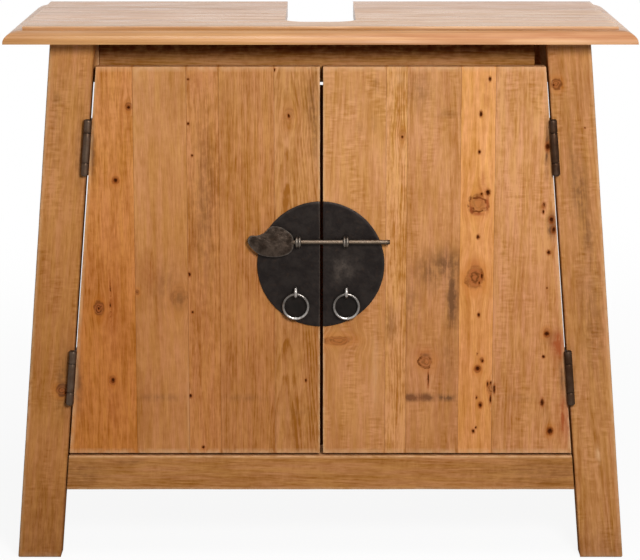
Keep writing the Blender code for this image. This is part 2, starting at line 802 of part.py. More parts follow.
thumb_neck = -BOLT_EYE_LEFT - 2 * BOLT_EYE_STRAND + TURN_NIP - THUMB_GAP
rod_start = thumb_neck - THUMB_LENGTH / 4
bolt_slide = pivot_empty("latch_bolt_slide", (thumb_neck, BOLT_AXIS_Y, BOLT_HEIGHT))
bolt_mesh = joined_mesh("latch_bolt", [bolt_rod_mesh(rod_start), thumb_mesh(thumb_neck)])
bolt = place("latch_bolt", bolt_mesh, BOLT_IRON, bolt_slide)
bolt.matrix_world = Matrix.Translation((0, BOLT_AXIS_Y, BOLT_HEIGHT))

# Ring pulls: a closed ring of round wire, hanging in its eye
RING_RADIUS = RING_DIAMETER / 2 - RING_WIRE
RING_SEGMENTS = 28
WIRE_SEGMENTS = 10
for side_name, x in (("left", -RING_LEFT), ("right", RING_RIGHT)):
    name = f"{side_name}_ring_pull"
    swing = pivot_empty(f"{name}_pivot", (x, RING_AXIS_Y, RING_AXIS_HEIGHT))
    ring_mesh = torus_mesh(name, RING_RADIUS, RING_WIRE, RING_SEGMENTS, WIRE_SEGMENTS)
    ring_mesh.transform(Matrix.Rotation(math.pi / 2, 4, "X"))
    ring = place(name, ring_mesh, RING_STEEL, swing)
    ring.matrix_world = Matrix.Translation((x, RING_AXIS_Y, RING_AXIS_HEIGHT - RING_RADIUS))

# Round pieces are shaded smooth
SMOOTH_ANGLE = math.radians(35)
for part in parts.objects:
    if part.type == "MESH":
        part.data.shade_smooth()
        part.data.set_sharp_from_angle(angle=SMOOTH_ANGLE)
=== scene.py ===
import json
import math
import random
from functools import partial

import bmesh
import bpy
import numpy as np
from mathutils import Matrix, Vector, noise

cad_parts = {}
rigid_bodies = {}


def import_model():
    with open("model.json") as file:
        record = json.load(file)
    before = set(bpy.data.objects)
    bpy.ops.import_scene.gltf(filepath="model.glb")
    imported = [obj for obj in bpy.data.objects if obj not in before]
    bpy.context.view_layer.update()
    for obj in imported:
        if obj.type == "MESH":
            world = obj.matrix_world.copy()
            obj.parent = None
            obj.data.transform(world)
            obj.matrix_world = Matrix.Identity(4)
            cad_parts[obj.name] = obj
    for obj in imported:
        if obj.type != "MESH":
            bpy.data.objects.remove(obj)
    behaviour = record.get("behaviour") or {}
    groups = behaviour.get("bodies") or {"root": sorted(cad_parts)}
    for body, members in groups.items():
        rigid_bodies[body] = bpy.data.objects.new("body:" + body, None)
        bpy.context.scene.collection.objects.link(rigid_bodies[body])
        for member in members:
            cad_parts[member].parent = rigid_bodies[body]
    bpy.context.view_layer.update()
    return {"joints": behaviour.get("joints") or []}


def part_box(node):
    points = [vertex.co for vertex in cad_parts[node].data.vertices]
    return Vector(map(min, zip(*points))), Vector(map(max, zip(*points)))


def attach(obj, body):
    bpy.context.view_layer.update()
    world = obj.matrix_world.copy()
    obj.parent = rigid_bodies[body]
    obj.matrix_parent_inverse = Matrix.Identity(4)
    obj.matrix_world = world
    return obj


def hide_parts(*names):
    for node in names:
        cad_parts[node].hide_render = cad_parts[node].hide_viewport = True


for leftover in list(bpy.data.objects):
    bpy.data.objects.remove(leftover)
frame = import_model()


# View
# The photograph was taken straight on with a long lens, from a little above the top. The camera
# stands where its lines meet, so the place on the cabinet behind any of its pixels can be found.
PHOTO_WIDTH = 640
PHOTO_HEIGHT = 560
FOCAL_PIXELS = 2497
SENSOR_WIDTH = 36.0
CAMERA_PLACE = Vector((-0.0005, -2.901, 0.902))
CAMERA_PITCH = math.radians(11.63)

camera = bpy.data.objects.new("camera", bpy.data.cameras.new("camera"))
bpy.context.scene.collection.objects.link(camera)
camera.data.sensor_width = SENSOR_WIDTH
camera.data.lens = FOCAL_PIXELS / PHOTO_WIDTH * SENSOR_WIDTH
camera.location = CAMERA_PLACE
camera.rotation_euler = (math.pi / 2 - CAMERA_PITCH, 0, 0)
bpy.context.scene.camera = camera
bpy.context.scene.view_settings.view_transform = "Standard"


def behind(px, py, y):
    """Point on the upright plane at depth y that shows at a pixel of the photograph."""
    forward = Vector((0, math.cos(CAMERA_PITCH), -math.sin(CAMERA_PITCH)))
    up = Vector((0, math.sin(CAMERA_PITCH), math.cos(CAMERA_PITCH)))
    ray = forward + up * (PHOTO_HEIGHT / 2 - py) / FOCAL_PIXELS
    ray.x = (px - PHOTO_WIDTH / 2) / FOCAL_PIXELS
    return CAMERA_PLACE + ray * ((y - CAMERA_PLACE.y) / ray.y)


# Studio
# A plain white sweep with one lamp beside the camera on the right, a weaker one overhead, a fill for
# the back, and even light from all round. The floor is white to the lens and still takes the shadow.
WHITE = (1.0, 1.0, 1.0, 1.0)
SURROUND_LIGHT = 0.15
FLOOR_SIZE = 40.0
FLOOR_NEAR = 0.6
FLOOR_FAR = 2.2
GLOW_NEAR = 0.91
FLOOR_COLOR = (0.42, 0.42, 0.42, 1.0)
FLOOR_PALE = (0.90, 0.90, 0.90, 1.0)
LAMPS = (
    ("key_lamp", (0.45, -1.75, 1.12), 0.45, 31.0, True),
    ("top_lamp", (0.2, -0.7, 2.40), 1.2, 22.0, True),
    ("back_fill", (-0.3, 2.2, 0.75), 1.2, 14.0, False),
)
LAMP_TARGET = Vector((0.0, -0.1, 0.35))


def add(tree, kind, inputs=None, **settings):
    """A node with its settings. An input is a value, or another node's output to link."""
    made = tree.nodes.new(kind)
    for key, value in settings.items():
        setattr(made, key, value)
    for key, value in (inputs or {}).items():
        if isinstance(value, bpy.types.NodeSocket):
            tree.links.new(value, made.inputs[key])
        else:
            made.inputs[key].default_value = value
    return made


def maths(tree, operation, first, second=0.0, clamp=False):
    """One step of arithmetic on two values, kept between 0 and 1 if clamped."""
    inputs = {0: first, 1: second}
    return add(tree, "ShaderNodeMath", inputs, operation=operation, use_clamp=clamp).outputs[0]


def mixed(tree, factor, first, second, mode="MIX"):
    """The first colour where the factor is 0, and the second laid over it where it is 1."""
    inputs = {0: factor, 6: first, 7: second}
    return add(tree, "ShaderNodeMix", inputs, data_type="RGBA", blend_type=mode).outputs[2]


def eased(tree, value, low, high, start=0.0, end=1.0):
    """A soft step of the value, from start below low to end above high."""
    inputs = {"Value": value, "From Min": low, "From Max": high, "To Min": start, "To Max": end}
    return add(tree, "ShaderNodeMapRange", inputs, interpolation_type="SMOOTHSTEP").outputs[0]


def seen_by_lens(tree):
    """1 for what the camera sees directly, in a mirror or through glass."""
    path = add(tree, "ShaderNodeLightPath").outputs
    seen = maths(tree, "MAXIMUM", path["Is Camera Ray"], path["Is Glossy Ray"])
    return maths(tree, "MAXIMUM", seen, path["Is Transmission Ray"])


def either(tree, factor, first, second):
    """The first shader where the factor is 0, and the second where it is 1."""
    inputs = {0: factor, 1: first.outputs[0], 2: second.outputs[0]}
    return add(tree, "ShaderNodeMixShader", inputs).outputs[0]


world = bpy.data.worlds.new("studio")
world.use_nodes = True
bpy.context.scene.world = world
sky = world.node_tree
sky.nodes.clear()
sky_light = add(sky, "ShaderNodeBackground", {"Color": WHITE, "Strength": SURROUND_LIGHT})
sky_white = add(sky, "ShaderNodeBackground", {"Color": WHITE, "Strength": 1.0})
add(sky, "ShaderNodeOutputWorld", {"Surface": either(sky, seen_by_lens(sky), sky_light, sky_white)})

floor_white = bpy.data.materials.new("floor_white")
floor_white.use_nodes = True
sweep = floor_white.node_tree
sweep.nodes.clear()
floor_seen = seen_by_lens(sweep)
paint_color = mixed(sweep, floor_seen, FLOOR_COLOR, FLOOR_PALE)
floor_paint = add(sweep, "ShaderNodeBsdfDiffuse", {"Color": paint_color})
floor_glow = add(sweep, "ShaderNodeEmission", {"Color": WHITE, "Strength": 1.0})
floor_spot = add(sweep, "ShaderNodeTexCoord").outputs["Object"]
floor_reach = add(sweep, "ShaderNodeVectorMath", {0: floor_spot}, operation="LENGTH").outputs["Value"]
floor_far = eased(sweep, floor_reach, FLOOR_NEAR, FLOOR_FAR, GLOW_NEAR, 1.0)
glow_share = maths(sweep, "MULTIPLY", floor_seen, floor_far)
add(sweep, "ShaderNodeOutputMaterial", {"Surface": either(sweep, glow_share, floor_paint, floor_glow)})

floor_mesh = bpy.data.meshes.new("floor")
floor_shape = bmesh.new()
bmesh.ops.create_grid(floor_shape, x_segments=1, y_segments=1, size=FLOOR_SIZE / 2)
floor_shape.to_mesh(floor_mesh)
floor_shape.free()
floor_mesh.materials.append(floor_white)
floor = bpy.data.objects.new("floor", floor_mesh)
bpy.context.scene.collection.objects.link(floor)

for lamp_name, lamp_place, lamp_size, lamp_power, mirrored in LAMPS:
    lamp_data = bpy.data.lights.new(lamp_name, "AREA")
    lamp_data.shape = "DISK"
    lamp_data.size = lamp_size
    lamp_data.energy = lamp_power
    lamp = bpy.data.objects.new(lamp_name, lamp_data)
    bpy.context.scene.collection.objects.link(lamp)
    lamp.location = lamp_place
    lamp.visible_glossy = mirrored
    lamp.rotation_euler = (LAMP_TARGET - lamp.location).to_track_quat("-Z", "Y").to_euler()


# Front legs
# Two splayed boards of old pine, planed and waxed, with rounded edges. The top is screwed down on
# them, and the doors hang on their inner edges. The grain runs up each board and leans with it.
def clouds(tree, vector, stretch, detail=2.0, roughness=0.5):
    """Noise from 0 to 1, with its own count of lumps per metre along each axis."""
    scaled = add(tree, "ShaderNodeVectorMath", {0: vector, 1: stretch}, operation="MULTIPLY").outputs[0]
    inputs = {"Vector": scaled, "Scale": 1.0, "Detail": detail, "Roughness": roughness}
    return add(tree, "ShaderNodeTexNoise", inputs).outputs[0]


def attribute(tree, name):
    """The three values that a piece's mesh holds under a name."""
    vector = add(tree, "ShaderNodeAttribute", attribute_name=name).outputs["Vector"]
    return add(tree, "ShaderNodeSeparateXYZ", {0: vector}).outputs


def shader_group(name, inputs, outputs):
    """An empty node group with its sockets. Inputs have a name and a first value."""
    tree = bpy.data.node_groups.new(name, "ShaderNodeTree")
    for socket_name, value in inputs.items():
        kind = "NodeSocketColor" if isinstance(value, tuple) else "NodeSocketFloat"
        tree.interface.new_socket(socket_name, in_out="INPUT", socket_type=kind).default_value = value
    for socket_name, kind in outputs.items():
        tree.interface.new_socket(socket_name, in_out="OUTPUT", socket_type=kind)
    given = tree.nodes.new("NodeGroupInput").outputs
    return tree, given


def summed(tree, start, *parts):
    """Start plus each part's value times its weight. A noise counts from its middle."""
    for value, weight, middle in parts:
        share = maths(tree, "MULTIPLY", maths(tree, "SUBTRACT", value, middle), weight)
        start = maths(tree, "ADD", share, start)
    return start


def tools(tree):
    """The node helpers of one group: times, plus, minus, mix, ease, cloud and total."""
    sums = [partial(maths, tree, kind) for kind in ("MULTIPLY", "ADD", "SUBTRACT")]
    return *sums, *(partial(helper, tree) for helper in (mixed, eased, clouds, summed))


FINISH_LOOK = {"Color": "NodeSocketColor", "Roughness": "NodeSocketFloat", "Height": "NodeSocketFloat"}
LOW_SHADE_RISE = (0.22, 0.60)
KNOT_REACH = 4.0
HOLE_REACH = 2.6
SWIRL_REACH = 2.2
SHARP_ANGLE = math.radians(40)
KNOT_DIRT_SHADE_DARK = (0.085, 0.020, 0.004, 1.0)
KNOT_BROWN = (0.30, 0.088, 0.025, 1.0)
KNOT_RIM = (0.14, 0.038, 0.009, 1.0)
HALO_ORANGE = (0.45, 0.145, 0.026, 1.0)
HOLE_DARK = (0.050, 0.010, 0.002, 1.0)
HOLE_HALO = (0.26, 0.062, 0.010, 1.0)
GREY_STAIN_AND_SHADE = (0.155, 0.067, 0.028, 1.0)
RED_STAIN_AND_SHADE = (0.31, 0.078, 0.024, 1.0)
PALE_STAIN_AND_HIGHLIGHT = (0.70, 0.43, 0.23, 1.0)
TINT_YELLOW = (0.99, 1.005, 0.89, 1.0)
TINT_PINK = (1.01, 0.99, 1.11, 1.0)
pine_inputs = {
    "Light": (0.5, 0.25, 0.1, 1.0),
    "Dark": (0.35, 0.15, 0.05, 1.0),
    "Ring Width": 0.004,
    "Pith Across": 0.0,
    "Pith Depth": 0.05,
    "Slope": 0.0,
    "Figure": 0.5,
    "Streaks": 1.0,
    "Ripple": 0.0,
    "Polish": 0.0,
    "Low Tint": WHITE,
}
pine_group, given = shader_group("pine", pine_inputs, FINISH_LOOK)
times, plus, minus, mix, ease, cloud, total = tools(pine_group)
grain = attribute(pine_group, "grain")
knot = attribute(pine_group, "knot")
stain_and_shade = attribute(pine_group, "stain_and_shade")
wear_and_painted_light = attribute(pine_group, "wear_and_painted_light")
rim = attribute(pine_group, "rim")

# Grain: growth rings round the pith, bent round knots, between flecks and bands of many sizes
flow_x = plus(grain["X"], knot["Z"])
flow = add(pine_group, "ShaderNodeCombineXYZ", {0: flow_x, 1: grain["Y"], 2: grain["Z"]}).outputs[0]
broad = cloud(flow, (70.0, 70.0, 9.0))
bands = cloud(flow, (190.0, 190.0, 12.0))
flecks = cloud(flow, (480.0, 480.0, 30.0), 2.0, 0.6)
fibres = cloud(flow, (1000.0, 1000.0, 70.0), 1.0)
mottle = cloud(flow, (130.0, 130.0, 95.0), 3.0, 0.6)
drift = cloud(flow, (26.0, 26.0, 10.0))
ring_drift = cloud(flow, (15.0, 15.0, 2.0))
ring_tremor = cloud(flow, (90.0, 90.0, 14.0))
from_pith_x = minus(flow_x, given["Pith Across"])
from_pith_y = minus(grain["Y"], given["Pith Depth"])
square_x = times(from_pith_x, from_pith_x)
square_y = times(from_pith_y, from_pith_y)
ring_radius = maths(pine_group, "SQRT", plus(square_x, square_y))
ring_radius = total(ring_radius, (ring_drift, 0.024, 0.5), (ring_tremor, 0.004, 0.5))
ring_radius = plus(ring_radius, times(grain["Z"], given["Slope"]))
ring_phase = maths(pine_group, "DIVIDE", ring_radius, given["Ring Width"])
ring_part = maths(pine_group, "FRACT", ring_phase)
latewood = ease(ring_part, 0.10, 0.80)
latewood = times(latewood, ease(ring_part, 0.85, 1.0, 1.0, 0.0))
ring_number = maths(pine_group, "FLOOR", ring_phase)
ring_chance = add(pine_group, "ShaderNodeTexWhiteNoise", {"W": ring_number}, noise_dimensions="1D").outputs[0]
ring_fade = ease(broad, 0.30, 0.66, 0.25, 1.0)
ring_mark = times(latewood, ease(ring_chance, 0.0, 1.0, 0.25, 1.0))
ring_mark = times(ring_mark, ring_fade)
flecking = total(0.0, (drift, 0.9, 0.5), (broad, 0.8, 0.5), (bands, 1.0, 0.5))
flecking = total(flecking, (flecks, 1.1, 0.5), (fibres, 1.0, 0.5), (mottle, 0.9, 0.5))
tone = plus(times(flecking, given["Streaks"]), 0.35)
ring_contrast = total(0.0, (ring_mark, 1.0, 0.2))
tone = plus(tone, times(ring_contrast, given["Figure"]))

# Saw ripples: faint short bars across the grain where the saw's marks were left in
ripple_patch = ease(cloud(flow, (45.0, 45.0, 18.0)), 0.44, 0.62)
ripple_wave = minus(cloud(flow, (70.0, 70.0, 300.0), 1.0), 0.5)
ripple = times(times(ripple_wave, ripple_patch), given["Ripple"])
tone = plus(tone, ripple)
color = mix(maths(pine_group, "MAXIMUM", tone, 0.0, True), given["Light"], given["Dark"])
tint = ease(cloud(flow, (140.0, 140.0, 15.0), 3.0), 0.30, 0.70)
color = mix(1.0, color, mix(tint, TINT_YELLOW, TINT_PINK), "MULTIPLY")
spot = add(pine_group, "ShaderNodeTexCoord").outputs["Object"]
rise = add(pine_group, "ShaderNodeSeparateXYZ", {0: spot}).outputs["Z"]
# Painted shade: below the rise the colour is multiplied by the board's low colour, so each board darkens
# towards the bottom
low_shaded = mix(1.0, color, given["Low Tint"], "MULTIPLY")
color = mix(ease(rise, *LOW_SHADE_RISE, 1.0, 0.0), color, low_shaded)

# Knots: red-brown wood with dark specks, a broken dark rim, and an orange halo in the grain round it
knot_far = times(minus(1.0, knot["X"]), KNOT_REACH)
knot_warp = cloud(flow, (110.0, 110.0, 85.0))
specks = cloud(flow, (640.0, 640.0, 430.0), 2.0, 0.6)
knot_rags = cloud(flow, (310.0, 310.0, 220.0))
knot_edge = total(knot_far, (knot_warp, 1.5, 0.5), (mottle, 0.5, 0.5), (knot_rags, 0.6, 0.5))
knot_inside = times(ease(knot_edge, 0.55, 1.25, 1.0, 0.0), knot["Y"])
knot_rings = maths(pine_group, "SINE", times(knot_edge, 11.0))
knot_shade = total(0.5, (specks, 1.2, 0.5), (mottle, 0.8, 0.5), (knot_rings, 0.40, 0.0))
knot_color = mix(ease(knot_shade, 0.0, 0.75), KNOT_DIRT_SHADE_DARK, KNOT_BROWN)
knot_rim = ease(knot_edge, 0.58, 0.90)
knot_rim = times(knot_rim, ease(knot_edge, 0.98, 1.34, 1.0, 0.0))
rim_chance = total(0.5, (mottle, 1.3, 0.5), (broad, 1.0, 0.5))
knot_rim = times(knot_rim, ease(rim_chance, 0.34, 0.64, 0.12, 1.0))
knot_halo = times(ease(knot_edge, 0.9, 2.6, 0.55, 0.0), knot["Y"])
color = mix(knot_halo, color, HALO_ORANGE)
color = mix(times(knot_inside, 0.9), color, knot_color)
color = mix(times(knot_rim, rim["X"], True), color, KNOT_RIM)

# Stains and patches of painted shade, rubbed edges with a painted highlight, dirt with painted shade, and
# nail holes
patchy = total(0.5, (mottle, 1.5, 0.5), (flecks, 0.7, 0.5))
patchy = ease(patchy, 0.15, 0.70, 0.55, 1.0)
blots = total(0.5, (mottle, 1.8, 0.5), (bands, 1.0, 0.5), (flecks, 1.0, 0.5))
blots = ease(blots, 0.05, 0.75, 0.35, 1.15)
for axis, stain_color in (("X", GREY_STAIN_AND_SHADE), ("Y", RED_STAIN_AND_SHADE), ("Z", PALE_STAIN_AND_HIGHLIGHT)):
    color = mix(times(stain_and_shade[axis], blots, True), color, stain_color)
# The pale rub on the edges is partly wear and partly a painted highlight on the arrises
edge_rub_and_highlight = times(wear_and_painted_light["Y"], ease(mottle, 0.35, 0.65, 0.25, 0.75))
color = mix(edge_rub_and_highlight, color, PALE_STAIN_AND_HIGHLIGHT)
# Dark mix: dirt at the feet and joints, and painted shade under the top's overhang, on the moulding's step
# and on the batten's face
color = mix(times(wear_and_painted_light["Z"], patchy, True), color, KNOT_DIRT_SHADE_DARK)
hole_near = total(wear_and_painted_light["X"], (specks, 0.45, 0.5))
hole = ease(hole_near, 0.46, 0.82)
color = mix(ease(hole_near, 0.12, 0.65, 0.0, 0.75), color, HOLE_HALO)
color = mix(hole, color, HOLE_DARK)

roughness = ease(mottle, 0.3, 0.7, 0.50, 0.62)
roughness = total(roughness, (hole, 0.3, 0.0), (latewood, -0.05, 0.0), (stain_and_shade["Y"], 0.8, 0.0))
roughness = total(roughness, (given["Polish"], -1.0, 0.0))
height = total(0.0, (flecks, 0.6, 0.0), (latewood, 0.3, 0.0), (ripple, 1.0, 0.0))
height = total(height, (mottle, 0.5, 0.0), (knot_inside, -0.3, 0.0))
add(pine_group, "NodeGroupOutput", {"Color": color, "Roughness": roughness, "Height": height})


def finish(name, group, values, bump=0.3, relief=0.0004, **sockets):
    """A material whose colour, roughness and relief come from a node group with its own values."""
    material = bpy.data.materials.new(name)
    material.use_nodes = True
    tree = material.node_tree
    look = add(tree, "ShaderNodeGroup", node_tree=group)
    for key, value in values.items():
        look.inputs[key].default_value = value
    shader = tree.nodes["Principled BSDF"]
    for key, value in sockets.items():
        shader.inputs[key.replace("_", " ")].default_value = value
    tree.links.new(look.outputs["Color"], shader.inputs["Base Color"])
    tree.links.new(look.outputs["Roughness"], shader.inputs["Roughness"])
    relief_inputs = {"Height": look.outputs["Height"], "Strength": bump, "Distance": relief}
    tree.links.new(add(tree, "ShaderNodeBump", relief_inputs).outputs[0], shader.inputs["Normal"])
    return material


PINE_LIGHT = (1.16, 1.22, 1.40)
PINE_DARK = (0.66, 0.54, 0.25)


def pine(name, color, ring, pith, slope, figure, fibre, ripple=0.0, polish=0.0, low=WHITE):
    """Waxed pine round one middle colour, with the width of its growth rings, the place of its pith
    across and behind the board's face, the grain's slope, and the contrast of rings and fibres."""
    light = (channel * share for channel, share in zip(color, PINE_LIGHT))
    dark = (channel * share for channel, share in zip(color, PINE_DARK))
    values = {
        "Light": (*light, 1.0),
        "Dark": (*dark, 1.0),
        "Ring Width": ring,
        "Pith Across": pith[0],
        "Pith Depth": pith[1],
        "Slope": slope,
        "Figure": figure,
        "Streaks": fibre,
        "Ripple": ripple,
        "Polish": polish,
        "Low Tint": low,
    }
    return finish(name, pine_group, values, Specular_IOR_Level=2.0 * polish)


def frame_of(origin, across, along, inward):
    """Places a board: across and along its face, and inward from the face."""
    columns = Matrix((across, inward, along)).transposed().to_4x4()
    return Matrix.Translation(origin) @ columns


def mark_field(points, marks, reach):
    """For each point, how near it is to the nearest mark, from 1 at its middle to 0 at its reach."""
    near = np.zeros(len(points))
    which = np.zeros(len(points), int)
    for index, (u, v, radius, stretch, *_) in enumerate(marks):
        far = np.hypot((points[:, 0] - u) / radius, (points[:, 2] - v) / (radius * stretch))
        share = np.clip(1 - far / reach, 0, 1)
        which[share > near] = index
        near = np.maximum(near, share)
    return near, which


def season(mesh, seed, knots=(), holes=(), stains_and_shade=(), edge=None, dirt_and_shade=None):
    """Writes what the pine finish reads at each point of a board: grain, knots, stains with painted shade,
    and wear and dirt with painted highlights and shade.
    """
    count = len(mesh.vertices)
    points = np.zeros(count * 3)
    mesh.vertices.foreach_get("co", points)
    points = points.reshape(-1, 3)
    shift = random.Random(seed)
    offset = np.array([0.0, 0.0, shift.uniform(-40, 40)])
    fields = {"grain": points + offset}
    near, which = mark_field(points, knots, KNOT_REACH)
    fills = np.array([knot[4] for knot in knots] + [0.0])
    rims = np.array([knot[5] for knot in knots] + [0.0])
    swirl = np.zeros(count)
    for u, v, radius, stretch, *_ in knots:
        across = points[:, 0] - u
        far = np.hypot(across / radius, (points[:, 2] - v) / (radius * stretch))
        swirl -= across / (abs(across) + 0.5 * radius) * radius * np.exp(-((far / SWIRL_REACH) ** 2))
    fields["knot"] = np.stack([near, np.where(near > 0, fills[which], 0), swirl], 1)
    fields["rim"] = np.repeat(np.where(near > 0, rims[which], 0)[:, None], 3, 1)
    patches = np.zeros((count, 3))
    for u, v, half_width, half_height, strength, kind in stains_and_shade:
        far = np.hypot((points[:, 0] - u) / half_width, (points[:, 2] - v) / half_height)
        patches[:, kind] = np.maximum(patches[:, kind], strength * np.exp(-(far**2)))
    fields["stain_and_shade"] = patches
    hole_near, _ = mark_field(points, holes, HOLE_REACH)
    edge = np.zeros(count) if edge is None else edge
    dirt_and_shade = np.zeros(count) if dirt_and_shade is None else dirt_and_shade
    fields["wear_and_painted_light"] = np.stack([hole_near, edge, dirt_and_shade], 1)
    for name, values in fields.items():
        layer = mesh.attributes.new(name, "FLOAT_VECTOR", "POINT")
        layer.data.foreach_set("vector", values.astype(np.float32).ravel())


def set_out(name, mesh, material, body, nodes):
    """A finished piece, riding on its body in place of the nodes that it stands for."""
    mesh.materials.clear()
    mesh.materials.append(material)
    mesh.shade_smooth()
    mesh.set_sharp_from_angle(angle=SHARP_ANGLE)
    piece = bpy.data.objects.new(name, mesh)
    bpy.context.scene.collection.objects.link(piece)
    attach(piece, body)
    if nodes:
        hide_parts(*nodes)
    return piece


BOARD_ARRIS = 0.0012
CELL_ACROSS = 0.0030
CELL_ALONG = 0.0060
CELL_FINEST = 0.0007
HOLE_DEPTH = 0.6
# How much darker a board gets towards its foot
FOOT_DARKENING = 0.3
RUB_AND_HIGHLIGHT_REACH = 0.0012
DENT_SIZE = 0.0004
JOINT_DIRT = 0.55
MARK_REACH = 2.2
KNOT_PASSES = 1
HOLE_PASSES = 3


def ease_edges(bm, edges, easing, segments):
    """Rounds edges off, in a number of facets."""
    bmesh.ops.bevel(
        bm,
        geom=edges,
        offset=easing,
        offset_type="OFFSET",
        segments=segments,
        profile=0.5,
        affect="EDGES",
        material=-1,
    )


def long_edges(bm, axis, least):
    """The edges that run further than the least length along an axis."""
    return [e for e in bm.edges if abs(e.verts[0].co[axis] - e.verts[1].co[axis]) > least]


def refine(bm, u, v, radius, stretch, passes):
    """Cuts the face's cells finer round a mark."""
    for step in range(passes):
        reach = radius * MARK_REACH + CELL_ACROSS / (step + 1)
        reach_along = radius * stretch * MARK_REACH + CELL_ALONG / (step + 1)
        near = set()
        for vert in bm.verts:
            if abs(vert.co.x - u) < reach and abs(vert.co.z - v) < reach_along and vert.co.y < DENT_SIZE:
                near.add(vert)
        edges = [e for e in bm.edges if near.issuperset(e.verts) and e.calc_length() > CELL_FINEST]
        bmesh.ops.subdivide_edges(bm, edges=edges, cuts=1, use_grid_fill=True)


def knocks(u, w, v, seed):
    """How hard an edge was knocked at a point, in small dents on broad ones."""
    small = noise.noise(Vector((u * 90 + seed, w * 90, v * 28)))
    return small + 0.6 * noise.noise(Vector((u * 25, w * 25 + seed, v * 9)))


def board(
    name,
    body,
    nodes,
    material,
    corners,
    thickness,
    place,
    seed,
    arris=BOARD_ARRIS,
    marks=None,
    foot=0.0,
    joints=(1.0, 1.0),
    butted=False,
):
    """A board with eased, slightly knocked edges. Corners go round its face from the lower left.

    Joints are the shares of the easing that the left and the right edge keep. Butted ends stay unworn."""
    marks = marks or {}
    knots, holes = marks.get("knots", ()), marks.get("holes", ())
    low_left, low_right, high_right, high_left = (Vector(corner) for corner in corners)
    bm = bmesh.new()
    bmesh.ops.create_cube(bm, size=1)
    for vert in bm.verts:
        across, along = vert.co.x + 0.5, vert.co.z + 0.5
        low = low_left.lerp(low_right, across)
        high = high_left.lerp(high_right, across)
        spot = low.lerp(high, along)
        vert.co = (spot.x, (vert.co.y + 0.5) * thickness, spot.y)
    ease_edges(bm, bm.edges[:], arris, 3)
    length = high_left.y - low_left.y
    width = min((low_right - low_left).length, (high_right - high_left).length)
    for axis, size, cell in ((2, length, CELL_ALONG), (0, width, CELL_ACROSS)):
        edges = long_edges(bm, axis, size / 2)
        bmesh.ops.subdivide_edges(bm, edges=edges, cuts=max(1, int(size / cell)), use_grid_fill=True)
    for u, v, radius, stretch, *_ in knots:
        refine(bm, u, v, radius, stretch, KNOT_PASSES)
    for u, v, radius, stretch, *_ in holes:
        refine(bm, u, v, radius, stretch, HOLE_PASSES)
    edge_rub_and_highlight_share = []
    dirt_and_shade = []
    for vert in bm.verts:
        u, w, v = vert.co
        along = (v - low_left.y) / length
        left = low_left.lerp(high_left, along).x
        right = low_right.lerp(high_right, along).x
        rim = min(u - left, right - u)
        if not butted:
            rim = min(rim, v - low_left.y, high_left.y - v)
        side = min(w, thickness - w)
        kept = joints[0] if u - left < right - u else joints[1]
        corner = max(side, min(u - left, right - u))
        dirt_and_shade.append(max(0.0, 1 - (v - low_left.y) / foot) * FOOT_DARKENING if foot else 0.0)
        if kept < 1 and corner < arris * 1.01:
            edge_rub_and_highlight_share.append(0.0)
            if corner < arris * 0.99:
                edge_u = left if u - left < right - u else right
                edge_w = 0.0 if w < thickness / 2 else thickness
                vert.co.x = edge_u + (u - edge_u) * kept
                vert.co.y = edge_w + (w - edge_w) * kept
                dirt_and_shade[-1] = max(dirt_and_shade[-1], JOINT_DIRT)
            continue
        rims = sorted((max(rim, 0), max(side, 0)))
        # The rub on the arrises is partly wear and partly a painted highlight
        edge_rub_and_highlight_share.append(max(0.0, 1 - rims[1] / (RUB_AND_HIGHLIGHT_REACH + 1.5 * arris)))
        sink = DENT_SIZE * max(0.0, knocks(u, w, v, seed)) * edge_rub_and_highlight_share[-1]
        centre_u, centre_w = (left + right) / 2, thickness / 2
        vert.co.x += math.copysign(sink, centre_u - u) if rim < arris * 1.2 else 0.0
        vert.co.y += math.copysign(sink, centre_w - w)
        if w < DENT_SIZE:
            for hole_u, hole_v, radius, stretch, *_ in holes:
                far = math.hypot((u - hole_u) / radius, (v - hole_v) / (radius * stretch))
                if far < 1:
                    vert.co.y += HOLE_DEPTH * radius * (1 - far**3)
    mesh = bpy.data.meshes.new(name)
    bm.to_mesh(mesh)
    bm.free()
    season(mesh, seed, knots, holes, marks.get("stains_and_shade", ()), np.array(edge_rub_and_highlight_share), np.array(dirt_and_shade))
    mesh.transform(place)
    return set_out(name, mesh, material, body, nodes)


def oblong(width, height):
    """The corners of an upright face, round from its lower left."""
    return (0, 0), (width, 0), (width, height), (0, height)


X, Y, Z = Vector((1, 0, 0)), Vector((0, 1, 0)), Vector((0, 0, 1))
GREY, RED, PALE = 0, 1, 2
MM = 0.001
SIDES = (("left", -1), ("right", 1))
door_joint = next(joint for joint in frame["joints"] if joint["name"] == "right_door_hinge")
SPLAY = -door_joint["axis"][0] / door_joint["axis"][2]
